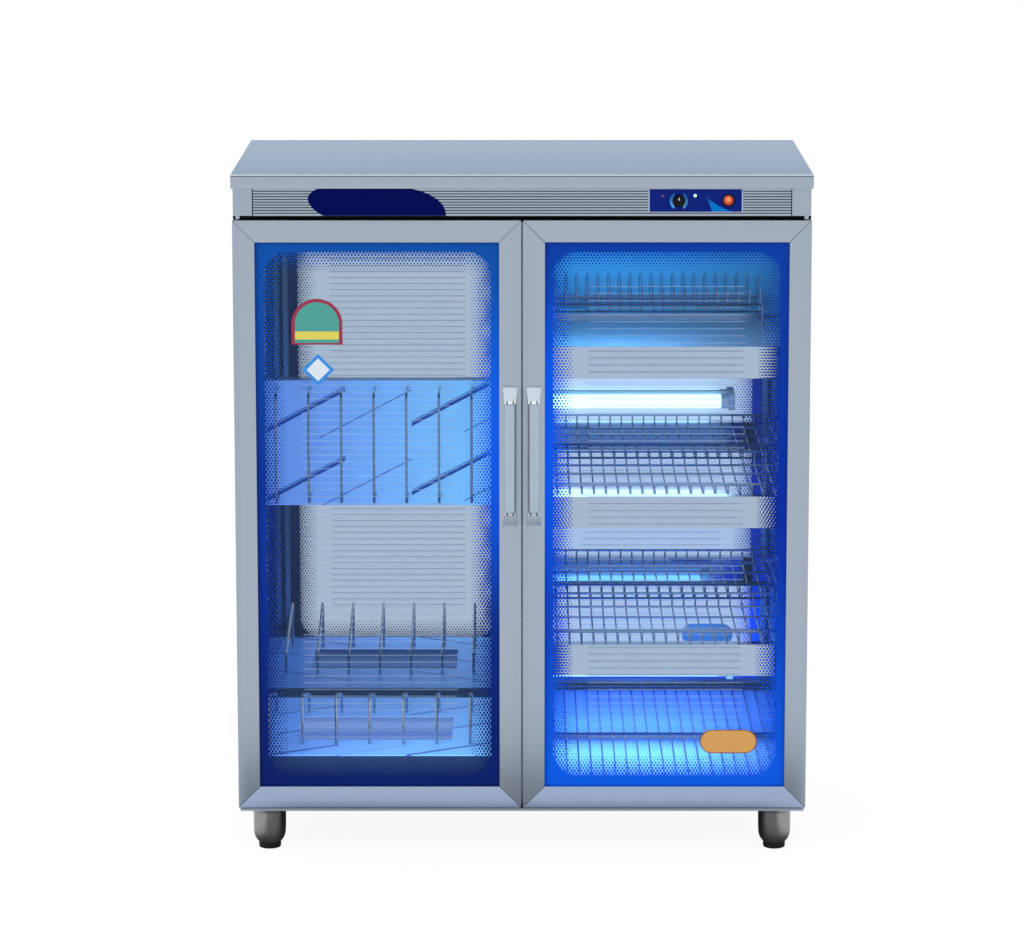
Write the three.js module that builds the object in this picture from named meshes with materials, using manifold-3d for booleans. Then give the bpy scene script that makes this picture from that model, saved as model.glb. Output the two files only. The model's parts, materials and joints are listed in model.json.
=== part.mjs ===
// A free-standing ultraviolet sterilising cabinet with two glass doors: knives and cutting boards on the left,
// cups and dishes on the right. Millimetres, +Z up, the front faces -Y, the origin is on the floor at the centre.
import * as THREE from "three";
import { mergeVertices } from "three/addons/utils/BufferGeometryUtils.js";
import Module from "manifold-3d";

const wasm = await Module();
wasm.setup();

// Whole cabinet
const WORKTOP_WIDTH = 1000;
const WORKTOP_DEPTH = 550;
const WORKTOP_THICKNESS = 24;
const WORKTOP_FLANGE = 34; // width of the return under the worktop's edge
const HEADER_HEIGHT = 48; // the control band between worktop and doors
const DOOR_HEIGHT = 1040;
const DOOR_TOP_GAP = 7;
const DOOR_BOTTOM_GAP = 1.5;
const BASE_HEIGHT = 4.5;
const LEG_HEIGHT = 80;
const BODY_INSET = 3.5; // how far the worktop overhangs each side
const SHEET = 1.5; // outer stainless sheet
const LINER_SHEET = 1.2; // inner polished sheet
const SEAT = 0.3; // gap between two pieces that rest on each other
const RUN = 0.3; // radial running clearance of pins and shafts
const OVERRUN = 5; // cutters run this far past what they cut
const WELD = 0.6; // how deep welded pieces sink into each other
const MERGE = 1e-4; // points closer than this are one
const ROUND_SIDES = 16; // facets of large, small and thin round pieces
const SMALL_SIDES = 12;
const ROD_SIDES = 6;
const WIRE_SIDES = 4;

// Doors
const DOOR_INSET = 2; // door faces behind the worktop's front edge
const DOOR_THICKNESS = 28;
const DOOR_SIDE_INSET = 2; // outer door edge inside the worktop's side
const DOORS_GAP = 3; // between the two doors
const RAIL_WIDTH = 38;
const RAIL_WALL = 2;
const RAIL_BACK_WIDTH = 34;
const MITRE_GAP = 0.3;
const GLASS_THICKNESS = 5;
const GLASS_SETBACK = 8; // front of the pane behind the front of the frame
const GLASS_GRIP = 9; // depth of the groove that holds the pane
const GASKET_THICKNESS = 5;
const GASKET_INSET = 12; // from the door's outer edge
const GASKET_WIDTH = 12;
const PIN_INSET = 8; // pivot from the door's outer edge
const PIN_RADIUS = 3;
const PIN_REACH = 9; // how far a pivot pin enters the door
const HINGE_PLATE_THICKNESS = 3.2; // plate under the header's end post, with the upper pin on it
const HINGE_PLATE_WIDTH = 30;
const HINGE_PLATE_DEPTH = 22;
const PIN_WASHER_RADIUS = 7;
const PIN_WASHER_THICKNESS = 1.2;

// Handles
const HANDLE_ABOVE_DOOR_BOTTOM = 507;
const HANDLE_LENGTH = 244;
const HANDLE_CAP_LENGTH = 26;
const HANDLE_CAP_WIDTH = 27;
const HANDLE_CAP_NECK = 19;
const HANDLE_CAP_DEPTH = 30; // where the cap holds the grip
const HANDLE_CAP_TOE = 8; // depth at the cap's far end
const HANDLE_STRIP_WIDTH = 12;
const HANDLE_STRIP_THICKNESS = 2;
const GRIP_WIDTH = 18;
const GRIP_THICKNESS = 8;
const GRIP_SETBACK = 2; // front of the grip behind the front of its end caps
const GRIP_CORNER = 2.4;

// Front frame and header
const FRAME_SHEET = 2;
const FRAME_OPENING_MARGIN = 4; // frame opening larger than the compartment all round
const POST_WIDTH = 33;
const POST_INSET = 5; // header front behind the worktop's front edge
const FASCIA_THICKNESS = 6;
const FASCIA_SETBACK = 2; // fascia front behind the header posts' front
const GROOVE_COUNT = 9;
const GROOVE_WIDTH = 1.6;
const GROOVE_DEPTH = 1.6;

// Compartments
const COMPARTMENT_SIDE_GAP = 17; // side panel to the compartment
const PARTITION_HALF = 10; // inner partition wall from the centre plane
const COMPARTMENT_FLOOR_GAP = 15.5; // base pan to the compartment
const COMPARTMENT_CEILING_GAP = 15; // compartment to the header
const LEFT_BACK_GAP = 8.5; // left compartment's back wall to the cabinet's rear
const DUCT_DEPTH = 126; // service space behind the right compartment
const LINER_FLANGE = 7;

// Rear
const BACK_INSET = 3;
const REAR_FLANGE = 20;
const SLOT_WIDTH = 90;
const SLOT_HEIGHT = 5;
const SLOT_PITCH = 14;
const SLOT_COUNT = 6;
const UPPER_SLOTS_BELOW_HEADER = 173;
const LOWER_SLOTS_ABOVE_BASE = 65.5;

// Shelves of the right compartment
const SHIELD_HEIGHT = 56;
const SHIELD_TOP_FLANGE = 26;
const SHIELD_BOTTOM_FLANGE = 14;
const SHIELD_BEHIND_GLASS = 28;
const UPPER_SHELF_BELOW_CEILING = 218;
const LEVEL_PITCH = 265;
const SHELF_LIP = 6; // the upper shelf's front lip stands this high over its plate
const LEDGE_WIDTH = 12;
const LEDGE_THICKNESS = 3;

// Wire baskets and racks
const BASKET_WIRE = 1.6; // radii
const BASKET_FRAME_WIRE = 2.2;
const BASKET_WIRES = 22;
const BASKET_FENCE = 28;
const BASKET_SIDE_GAP = 6; // basket from the compartment's side walls
const BASKET_FRONT_GAP = 4; // basket behind the shield's top flange
const BASKET_BACK_GAP = 34; // room for the lamp
const BASKET_BELOW_SHIELD_TOP = 12;
const WIRE_CROSSING_SHARE = 0.72; // centre distance of two welded wires, as a share of their radii's sum
const RACK_FOOT = 8;

// Cup rack
const CUP_PRONGS = 20;
const CUP_RACK_SIDE_GAP = 50; // first and last prong to the side walls
const CUP_PRONG_HEIGHT = 45;
const CUP_PRONG_SPREAD = 7; // between the two legs of a prong
const CUP_PEG_HEIGHT = 28;
const CUP_RACK_DEPTH = 95;
const CUP_RACK_LEG = 42;
const CUP_RACK_FRONT_GAP = 252;
const CUP_RAIL_DROP = 13;

// Knife and board racks of the left compartment
const RACK_HOOPS = 7;
const RACK_PARTITION_GAP = 83; // partition to the first hoop
const RACK_SIDE_GAP = 25; // last hoop to the side wall
const RACK_WIRE = 2.5;
const KNIFE_PLATE_ABOVE_FLOOR = 424;
const KNIFE_PLATE_HEIGHT = 236;
const KNIFE_PLATE_FLANGE = 18;
const KNIFE_WIRE_REACH = 84;
const KNIFE_WIRE_BELOW_TOP = 14;
const KNIFE_WIRE_ABOVE_BOTTOM = 20;
const BEND = 10; // how much a bent rod's corner is cut off
const TRAY_HEIGHT = 60;
const TRAY_BEHIND_GLASS = 66;
const TRAY_BACK_GAP = 38;
const TRAY_HOLE_PARTITION_GAP = 116;
const TRAY_HOLE_SIDE_GAP = 72;
const TRAY_HOLE_FRONT = 107; // hole behind the tray's front
const TRAY_HOLE_DEPTH = 168;
const HOOP_FRONT = 77; // hoops behind the tray's front
const HOOP_DEPTH = 229;
const HOOP_FRONT_HEIGHT = 90;
const HOOP_REAR_HEIGHT = 36;

// Lamps
const LAMP_RADIUS = 12.6;
const LAMP_CAP_WALL = 0.6;
const LAMP_CAP_LENGTH = 12;
const LAMP_LENGTH = 345;
const LAMP_SIDES = 14;
const FIXTURE_WIDTH = 30;
const FIXTURE_DEPTH = 8;
const HOLDER_LENGTH = 12;
const HOLDER_RISE = 14; // tube axis in front of the fixture's channel
const RIGHT_LAMP_OFF_MIDDLE = 40; // towards the partition
const UPPER_LAMP_BELOW_SHELF = 157;
const LOWER_LAMP_ABOVE_FLOOR = 140;
const LEFT_LAMP_ABOVE_FLOOR = 320;
const LEFT_LAMP_BEHIND_GLASS = 112;

// Controls
const CONTROL_PLATE_POST_GAP = 84.5;
const CONTROL_PLATE_WIDTH = 162;
const CONTROL_PLATE_DROP = 40;
const CONTROL_PLATE_THICKNESS = 1;
const KNOB_FROM_LEFT = 52; // from the control plate's left edge
const KNOB_BELOW_TOP = 21.5;
const KNOB_RADIUS = 10.5;
const KNOB_SKIRT = 4;
const KNOB_GRIP_RADIUS = 8.2;
const KNOB_LENGTH = 15;
const KNOB_POINTER_WIDTH = 1.6;
const SHAFT_RADIUS = 3;
const SHAFT_LENGTH = 18;
const BUSHING_RADIUS = 5;
const TIMER_WIDTH = 44;
const TIMER_HEIGHT = 40;
const TIMER_DEPTH = 34;
const TIMER_SETBACK = 3; // timer body behind the fascia
const SWITCH_FROM_LEFT = 137;
const SWITCH_BELOW_TOP = 20.5;
const SWITCH_BEZEL_RADIUS = 11;
const SWITCH_BEZEL_THICKNESS = 2;
const SWITCH_BARREL_RADIUS = 9.8;
const SWITCH_BARREL_LENGTH = 24;
const SWITCH_WALL = 0.9;
const SWITCH_WELL_DEPTH = 11;
const ROCKER_GAP = 0.5; // round the rocker in its well
const ROCKER_THICKNESS = 5;
const ROCKER_TILT = 7; // degrees each way from the middle
const ROCKER_PIVOT_DEPTH = 2.4; // pivot behind the bezel's front
const LED_RADIUS = 2.5;
const LED_PROUD = 2;
const LED_FROM_KNOB = 28; // one on each side
const LED_BELOW_TOP = 12.5;
const LED_BOARD_THICKNESS = 1.6;
const LED_BOARD_HEIGHT = 7;
const LED_BOARD_MARGIN = 5;

// Legs and feet
const LEG_SIDE_GAP = 49.5; // leg's axis from the side panel
const LEG_END_GAP = 58; // leg's axis from the worktop's front and rear
const LEG_RADIUS = 30;
const LEG_COLLAR_STEP = 1.4;
const LEG_COLLAR = 11;
const LEG_NECK_RADIUS = 21;
const FOOT_STEM_RADIUS = 9;
const FOOT_RADIUS = 19.5;
const FOOT_HEIGHT = 11;
const FOOT_STEM_LENGTH = 46;
const FOOT_CHAMFER = 2;

// Cable gland
const GLAND_SIDE_GAP = 95;
const GLAND_ABOVE_BASE = 165.5;
const GLAND_FLANGE_RADIUS = 15;
const GLAND_FLANGE_THICKNESS = 4;
const GLAND_RADIUS = 9.7;
const GLAND_REACH = 12;
const GLAND_CABLE_RADIUS = 4;

// Levels and planes that follow
const baseBottom = LEG_HEIGHT;
const baseTop = baseBottom + BASE_HEIGHT;
const doorBottom = baseTop + DOOR_BOTTOM_GAP;
const doorTop = doorBottom + DOOR_HEIGHT;
const headerBottom = doorTop + DOOR_TOP_GAP;
const headerTop = headerBottom + HEADER_HEIGHT;
const worktopTop = headerTop + WORKTOP_THICKNESS;
const sideOuter = WORKTOP_WIDTH / 2 - BODY_INSET;
const sideInner = sideOuter - SHEET;
const worktopFront = -WORKTOP_DEPTH / 2;
const doorFront = worktopFront + DOOR_INSET;
const doorBack = doorFront + DOOR_THICKNESS;
const gasketBack = doorBack + SEAT + GASKET_THICKNESS;
const bodyFront = gasketBack + SEAT;
const bodyBack = WORKTOP_DEPTH / 2 - BACK_INSET;
const backPanelFront = bodyBack - 2 * SHEET - SEAT;
const doorOuter = WORKTOP_WIDTH / 2 - DOOR_SIDE_INSET;
const doorInner = DOORS_GAP / 2;
const doorWidth = doorOuter - doorInner;
const glassFront = doorFront + GLASS_SETBACK;
const glassBack = glassFront + GLASS_THICKNESS;
const pivotX = doorOuter - PIN_INSET;
const pivotY = (doorFront + doorBack) / 2;
const headerFront = worktopFront + POST_INSET;
const postInner = sideOuter - POST_WIDTH;
const fasciaFront = headerFront + FASCIA_SETBACK;
const fasciaBack = fasciaFront + FASCIA_THICKNESS;
const linerFront = bodyFront + FRAME_SHEET + SEAT;
const leftBack = bodyBack - LEFT_BACK_GAP;
const rightBack = bodyBack - DUCT_DEPTH;
const shieldFront = glassBack + SHIELD_BEHIND_GLASS;
const compartmentSide = sideInner - COMPARTMENT_SIDE_GAP;
const compartmentFloor = baseTop + COMPARTMENT_FLOOR_GAP;
const compartmentCeiling = headerBottom - COMPARTMENT_CEILING_GAP;
const compartmentMiddle = (compartmentSide + PARTITION_HALF) / 2;
const upperShelfTop = compartmentCeiling - UPPER_SHELF_BELOW_CEILING;
const rightLampX = compartmentMiddle - RIGHT_LAMP_OFF_MIDDLE;
const knifeBottom = compartmentFloor + KNIFE_PLATE_ABOVE_FLOOR;
const trayTop = compartmentFloor + TRAY_HEIGHT;
const handleBottom = doorBottom + HANDLE_ABOVE_DOOR_BOTTOM;
const controlLeft = postInner - CONTROL_PLATE_POST_GAP - CONTROL_PLATE_WIDTH;
const knobX = controlLeft + KNOB_FROM_LEFT;
const switchX = controlLeft + SWITCH_FROM_LEFT;
const [redLedX, greenLedX] = [knobX - LED_FROM_KNOB, knobX + LED_FROM_KNOB];
const wellRadius = SWITCH_BARREL_RADIUS - SWITCH_WALL;
const rockerRadius = wellRadius - ROCKER_GAP;
const legX = sideOuter - LEG_SIDE_GAP;
const legY = WORKTOP_DEPTH / 2 - LEG_END_GAP;
const legBodyRadius = LEG_RADIUS - LEG_COLLAR_STEP;
const lampCapRadius = LAMP_RADIUS + LAMP_CAP_WALL;
const glandX = sideInner - GLAND_SIDE_GAP;
const glandZ = baseTop + GLAND_ABOVE_BASE;

const finishes = {
  steel: { color: 0xb9c2cc, roughness: 0.42, metalness: 0.9 },
  mirror: { color: 0xc4d0dc, roughness: 0.08, metalness: 1 },
  film: { color: 0x9fc6f2, roughness: 0.35, metalness: 0.3 },
  wire: { color: 0xd0d4d8, roughness: 0.15, metalness: 1 },
  chrome: { color: 0xe2e5e8, roughness: 0.08, metalness: 1 },
  grip: { color: 0xdfe4ea, roughness: 0.3, metalness: 0.2 },
  glass: { color: 0x7fb0f0, roughness: 0.03, metalness: 0 },
  gasket: { color: 0x24272b, roughness: 0.8, metalness: 0 },
  plate: { color: 0x0f3c92, roughness: 0.35, metalness: 0 },
  black: { color: 0x101114, roughness: 0.4, metalness: 0 },
  red: { color: 0xd83a1c, roughness: 0.2, metalness: 0 },
  green: { color: 0x7be07a, roughness: 0.2, metalness: 0 },
  lamp: { color: 0xdff2ff, roughness: 0.1, metalness: 0 },
  white: { color: 0xe8e9ea, roughness: 0.4, metalness: 0 },
  leg: { color: 0x6d6c69, roughness: 0.3, metalness: 0.9 },
  rubber: { color: 0x0c0c0d, roughness: 0.85, metalness: 0 },
};

// A closed three.js geometry as a solid that can be joined and cut.
function solid(geometry) {
  const bare = geometry.index ? geometry.toNonIndexed() : geometry.clone();
  bare.deleteAttribute("normal");
  bare.deleteAttribute("uv");
  const merged = mergeVertices(bare, MERGE);
  return new wasm.Manifold(
    new wasm.Mesh({
      numProp: 3,
      vertProperties: merged.attributes.position.array,
      triVerts: new Uint32Array(merged.index.array),
    }),
  );
}

// A solid back as a three.js geometry.
function geometryOf(made) {
  const mesh = made.getMesh();
  const geometry = new THREE.BufferGeometry();
  geometry.setAttribute("position", new THREE.BufferAttribute(mesh.vertProperties, mesh.numProp));
  geometry.setIndex(new THREE.BufferAttribute(mesh.triVerts, 1));
  geometry.computeVertexNormals();
  return geometry;
}

const join = (solids) => solids.reduce((whole, next) => whole.add(next));
const cut = (whole, cutters) => cutters.reduce((left, next) => left.subtract(next), whole);
const times = (count, make) => Array.from({ length: count }, (_, i) => make(i));
const point = (x, y, z) => new THREE.Vector3(x, y, z);

// A box between two corners.
function block(x0, x1, y0, y1, z0, z1) {
  const geometry = new THREE.BoxGeometry(x1 - x0, y1 - y0, z1 - z0);
  return solid(geometry.translate((x0 + x1) / 2, (y0 + y1) / 2, (z0 + z1) / 2));
}

// A round bar whose axis runs along "x", "y" or "z" from start to end, through (a, b) in the other two axes.
function bar(axis, radius, start, end, a, b, sides = ROUND_SIDES) {
  const geometry = new THREE.CylinderGeometry(radius, radius, end - start, sides);
  const middle = (start + end) / 2;
  if (axis === "x") geometry.rotateZ(-Math.PI / 2).translate(middle, a, b);
  if (axis === "y") geometry.translate(a, middle, b);
  if (axis === "z") geometry.rotateX(Math.PI / 2).translate(a, b, middle);
  return solid(geometry);
}

// A turned piece about the Z axis. The profile's points are [radius, height], from the axis and back to it.
function turned(profile, sides = ROUND_SIDES) {
  const points = profile.map(([radius, height]) => new THREE.Vector2(radius, height));
  return solid(new THREE.LatheGeometry(points, sides).rotateX(Math.PI / 2));
}

// A rod of even section bent along points that all lie in one plane, square to normal. Its corners are mitred.
function bentRod(points, radius, normal, sides = WIRE_SIDES, closed = false) {
  const turn = (2 * Math.PI) / sides;
  const outer = radius * Math.sqrt(turn / Math.sin(turn)); // the polygon has the round rod's area
  const last = points.length - 1;
  const corners = [];
  points.forEach((at, i) => {
    const previous = closed ? points[(i + last) % (last + 1)] : points[Math.max(i - 1, 0)];
    const next = closed ? points[(i + 1) % (last + 1)] : points[Math.min(i + 1, last)];
    const arriving = at.clone().sub(previous).normalize();
    const leaving = next.clone().sub(at).normalize();
    const tangent = arriving.clone().add(leaving).normalize();
    const side = normal.clone().cross(tangent);
    const stretch = 1 / Math.max(tangent.dot(arriving), tangent.dot(leaving));
    for (let k = 0; k < sides; k++) {
      const angle = (k + 0.5) * turn;
      const corner = at.clone().addScaledVector(normal, outer * Math.cos(angle));
      corners.push(corner.addScaledVector(side, outer * Math.sin(angle) * stretch));
    }
  });
  const faces = [];
  const spans = closed ? last + 1 : last;
  for (let i = 0; i < spans; i++) {
    for (let k = 0; k < sides; k++) {
      const a = i * sides + k;
      const b = i * sides + ((k + 1) % sides);
      const c = ((i + 1) % (last + 1)) * sides + k;
      const d = ((i + 1) % (last + 1)) * sides + ((k + 1) % sides);
      faces.push(a, c, b, b, c, d);
    }
  }
  if (!closed) {
    for (let k = 1; k < sides - 1; k++) {
      faces.push(0, k, k + 1);
      faces.push(last * sides, last * sides + k + 1, last * sides + k);
    }
  }
  const geometry = new THREE.BufferGeometry();
  geometry.setAttribute("position", new THREE.Float32BufferAttribute(corners.flatMap((p) => p.toArray()), 3));
  geometry.setIndex(faces);
  return solid(geometry);
}

const alongX = point(1, 0, 0);
const alongZ = point(0, 0, 1);

// The corner at "at" of a bent rod, cut off by BEND on both sides.
function bend(before, at, after) {
  const near = at.clone().addScaledVector(before.clone().sub(at).normalize(), BEND);
  const far = at.clone().addScaledVector(after.clone().sub(at).normalize(), BEND);
  return [near, far];
}

// A straight rod along X.
const rodX = (x0, x1, y, z, radius, sides = WIRE_SIDES) =>
  bentRod([point(x0, y, z), point(x1, y, z)], radius, alongZ, sides);

// A rectangular loop of wire, level, through its corner points.
const loopZ = (x0, x1, y0, y1, z, radius) =>
  bentRod([point(x0, y0, z), point(x1, y0, z), point(x1, y1, z), point(x0, y1, z)], radius, alongZ, WIRE_SIDES, true);

const cabinet = new THREE.Group();

// Adds a named sub-part. mirrored puts its twin on the other side of the centre plane.
function add(name, made, finish, mirrored = false) {
  const mesh = new THREE.Mesh(geometryOf(made), new THREE.MeshStandardMaterial(finishes[finish]));
  mesh.name = name;
  if (mirrored) mesh.scale.x = -1;
  cabinet.add(mesh);
}

// Worktop: a folded sheet box, open in the middle of its underside.
function worktop() {
  const half = WORKTOP_WIDTH / 2;
  const deep = WORKTOP_DEPTH / 2;
  const outer = block(-half, half, -deep, deep, headerTop, worktopTop);
  const inner = block(-half + SHEET, half - SHEET, -deep + SHEET, deep - SHEET, headerTop + SHEET, worktopTop - SHEET);
  const [openX, openY] = [half - WORKTOP_FLANGE, deep - WORKTOP_FLANGE];
  return cut(outer, [inner, block(-openX, openX, -openY, openY, headerTop - OVERRUN, headerTop + OVERRUN)]);
}

// Right side panel with a flange that turns in at the rear.
function sidePanel() {
  const [low, high] = [baseBottom, headerTop - SEAT];
  return join([
    block(sideInner, sideOuter, bodyFront, bodyBack, low, high),
    block(sideInner - REAR_FLANGE, sideOuter, bodyBack - SHEET, bodyBack, low, high),
  ]);
}

// Rear cover with two rows of ventilation slots behind the service space, and the hole for the cable gland.
function backPanel() {
  const half = sideInner - SEAT;
  const plate = block(-half, half, backPanelFront, backPanelFront + SHEET, baseTop + SEAT, headerTop - SEAT);
  const slots = [headerBottom - UPPER_SLOTS_BELOW_HEADER, baseTop + LOWER_SLOTS_ABOVE_BASE].flatMap((low) =>
    times(SLOT_COUNT, (i) => {
      const z = low + i * SLOT_PITCH;
      const [x0, x1] = [compartmentMiddle - SLOT_WIDTH / 2, compartmentMiddle + SLOT_WIDTH / 2];
      return block(x0, x1, backPanelFront - OVERRUN, backPanelFront + OVERRUN, z, z + SLOT_HEIGHT);
    }),
  );
  const bore = bar("y", GLAND_RADIUS + RUN, backPanelFront - OVERRUN, backPanelFront + OVERRUN, glandX, glandZ);
  return cut(plate, [...slots, bore]);
}

// Base pan: a shallow tray under the whole cabinet, with the doors' lower pivot pins welded on.
function basePan() {
  const half = sideInner - SEAT;
  const [front, back] = [doorFront, backPanelFront + SHEET];
  const outer = block(-half, half, front, back, baseBottom, baseTop);
  const inner = block(-half + SHEET, half - SHEET, front + SHEET, back - SHEET, baseBottom + SHEET, baseTop + OVERRUN);
  const pins = [-1, 1].flatMap((side) => [
    bar("z", PIN_RADIUS, baseBottom, doorBottom + PIN_REACH, side * pivotX, pivotY, SMALL_SIDES),
    bar("z", PIN_WASHER_RADIUS, baseBottom, baseTop + PIN_WASHER_THICKNESS, side * pivotX, pivotY, SMALL_SIDES),
  ]);
  return join([cut(outer, [inner]), ...pins]);
}

// Upper hinge: a plate welded under the header's end post with a pin that reaches down into the door.
function upperHinge(side) {
  const low = headerBottom - SHEET - HINGE_PLATE_THICKNESS;
  const middle = side * (sideOuter - HINGE_PLATE_WIDTH / 2);
  const [x0, x1] = [middle - HINGE_PLATE_WIDTH / 2, middle + HINGE_PLATE_WIDTH / 2];
  const [y0, y1] = [pivotY - HINGE_PLATE_DEPTH / 2, pivotY + HINGE_PLATE_DEPTH / 2];
  return join([
    block(x0, x1, y0, y1, low, headerBottom - SHEET + WELD),
    bar("z", PIN_RADIUS, doorTop - PIN_REACH, low + WELD, side * pivotX, pivotY, SMALL_SIDES),
  ]);
}

// Front frame: the plate that the doors close on, with two openings, the header's two end posts and the upper hinges.
function frontFrame() {
  const half = sideInner - SEAT;
  const back = bodyFront + FRAME_SHEET;
  const plate = block(-half, half, bodyFront, back, baseTop + SEAT, headerBottom);
  const margin = FRAME_OPENING_MARGIN;
  const opening = (x0, x1) =>
    block(x0, x1, bodyFront - OVERRUN, back + OVERRUN, compartmentFloor - margin, compartmentCeiling + margin);
  const [near, far] = [PARTITION_HALF - margin, compartmentSide + margin];
  const posts = [-1, 1].flatMap((side) => {
    const [low, high] = [headerBottom - SHEET, headerTop - SEAT];
    const [inner, outer] = [side * postInner, side * sideOuter];
    const edge = side * half;
    return [
      block(Math.min(inner, outer), Math.max(inner, outer), headerFront, bodyFront - SEAT, low, high),
      block(Math.min(inner, edge), Math.max(inner, edge), headerFront, back, low, high),
    ];
  });
  return join([cut(plate, [opening(-far, -near), opening(near, far)]), ...posts, upperHinge(-1), upperHinge(1)]);
}

const knobZ = headerTop - KNOB_BELOW_TOP;
const switchZ = headerTop - SWITCH_BELOW_TOP;
const ledZ = headerTop - LED_BELOW_TOP;

// The holes that the controls need, through everything between two depths.
const controlHoles = (front, back) => [
  bar("y", BUSHING_RADIUS + RUN, front, back, knobX, knobZ),
  bar("y", SWITCH_BARREL_RADIUS + RUN, front, back, switchX, switchZ),
  bar("y", LED_RADIUS + RUN, front, back, redLedX, ledZ, SMALL_SIDES),
  bar("y", LED_RADIUS + RUN, front, back, greenLedX, ledZ, SMALL_SIDES),
];

// Fascia: an aluminium extrusion with level grooves along its face.
function controlFascia() {
  const [low, high] = [headerBottom + SEAT, headerTop - SEAT];
  const pitch = (high - low) / (GROOVE_COUNT + 1);
  const outline = new THREE.Shape([new THREE.Vector2(fasciaBack, low), new THREE.Vector2(fasciaFront, low)]);
  times(GROOVE_COUNT, (i) => {
    const z = low + (i + 1) * pitch;
    outline.lineTo(fasciaFront, z - GROOVE_WIDTH / 2);
    outline.lineTo(fasciaFront + GROOVE_DEPTH, z - GROOVE_WIDTH / 2);
    outline.lineTo(fasciaFront + GROOVE_DEPTH, z + GROOVE_WIDTH / 2);
    outline.lineTo(fasciaFront, z + GROOVE_WIDTH / 2);
  });
  outline.lineTo(fasciaFront, high);
  outline.lineTo(fasciaBack, high);
  const length = 2 * (postInner - SEAT);
  const strip = new THREE.ExtrudeGeometry(outline, { depth: length, bevelEnabled: false });
  strip.applyMatrix4(new THREE.Matrix4().set(0, 0, 1, -length / 2, 1, 0, 0, 0, 0, 1, 0, 0, 0, 0, 0, 1));
  return cut(solid(strip), controlHoles(fasciaFront - OVERRUN, fasciaBack + OVERRUN));
}

const plateBack = fasciaFront - SEAT;
const plateFront = plateBack - CONTROL_PLATE_THICKNESS;

function controlPlate() {
  const [left, right] = [controlLeft, controlLeft + CONTROL_PLATE_WIDTH];
  const high = headerTop - SEAT;
  const plate = block(left, right, plateFront, plateBack, high - CONTROL_PLATE_DROP, high);
  return cut(plate, controlHoles(plateFront - OVERRUN, plateBack + OVERRUN));
}

const timerFront = fasciaBack + TIMER_SETBACK;

// Clockwork timer: its case with a threaded bushing that passes through the fascia.
function timerUnit() {
  const [x0, x1] = [knobX - TIMER_WIDTH / 2, knobX + TIMER_WIDTH / 2];
  const [z0, z1] = [knobZ - TIMER_HEIGHT / 2, knobZ + TIMER_HEIGHT / 2];
  const body = block(x0, x1, timerFront, timerFront + TIMER_DEPTH, z0, z1);
  const bushing = bar("y", BUSHING_RADIUS, plateFront, timerFront + WELD, knobX, knobZ);
  const bore = bar("y", SHAFT_RADIUS + RUN, plateFront - OVERRUN, plateFront + SHAFT_LENGTH + OVERRUN, knobX, knobZ);
  return cut(join([body, bushing]), [bore]);
}

// Timer knob: a skirt, a narrower grip with a pointer ridge, and its shaft.
function timerKnob() {
  const back = plateFront - SEAT;
  const front = back - KNOB_LENGTH;
  const [x0, x1] = [knobX - KNOB_POINTER_WIDTH / 2, knobX + KNOB_POINTER_WIDTH / 2];
  return join([
    bar("y", KNOB_RADIUS, back - KNOB_SKIRT, back, knobX, knobZ),
    bar("y", KNOB_GRIP_RADIUS, front, back - KNOB_SKIRT + WELD, knobX, knobZ),
    block(x0, x1, front - WELD, back - KNOB_SKIRT, knobZ, knobZ + KNOB_GRIP_RADIUS + WELD),
    bar("y", SHAFT_RADIUS, back - WELD, plateFront + SHAFT_LENGTH, knobX, knobZ, SMALL_SIDES),
  ]);
}

const bezelFront = plateFront - SEAT - SWITCH_BEZEL_THICKNESS;

function switchHousing() {
  const back = bezelFront + SWITCH_BARREL_LENGTH;
  return cut(
    join([
      bar("y", SWITCH_BEZEL_RADIUS, bezelFront, bezelFront + SWITCH_BEZEL_THICKNESS, switchX, switchZ),
      bar("y", SWITCH_BARREL_RADIUS, bezelFront + WELD, back, switchX, switchZ),
    ]),
    [bar("y", wellRadius, bezelFront - OVERRUN, bezelFront + SWITCH_WELL_DEPTH, switchX, switchZ)],
  );
}

// Round rocker, stored pressed in at its upper half, as when it is on.
function rockerButton() {
  const disc = new THREE.CylinderGeometry(rockerRadius, rockerRadius, ROCKER_THICKNESS, ROUND_SIDES);
  disc.rotateX(THREE.MathUtils.degToRad(-ROCKER_TILT));
  return solid(disc.translate(switchX, bezelFront + ROCKER_PIVOT_DEPTH, switchZ));
}

// Indicator board: a small circuit board behind the fascia with its two lamps.
function indicatorBoard() {
  const [x0, x1] = [redLedX - LED_BOARD_MARGIN, greenLedX + LED_BOARD_MARGIN];
  const [z0, z1] = [ledZ - LED_RADIUS - RUN, ledZ - LED_RADIUS - RUN + LED_BOARD_HEIGHT];
  const front = fasciaBack + SEAT;
  const lens = (x) => bar("y", LED_RADIUS, plateFront - LED_PROUD, front + WELD, x, ledZ, SMALL_SIDES);
  const notch = bar("y", BUSHING_RADIUS + RUN, front - OVERRUN, front + OVERRUN, knobX, knobZ);
  const board = block(x0, x1, front, front + LED_BOARD_THICKNESS, z0, z1);
  return join([cut(board, [notch]), lens(redLedX), lens(greenLedX)]);
}

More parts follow.
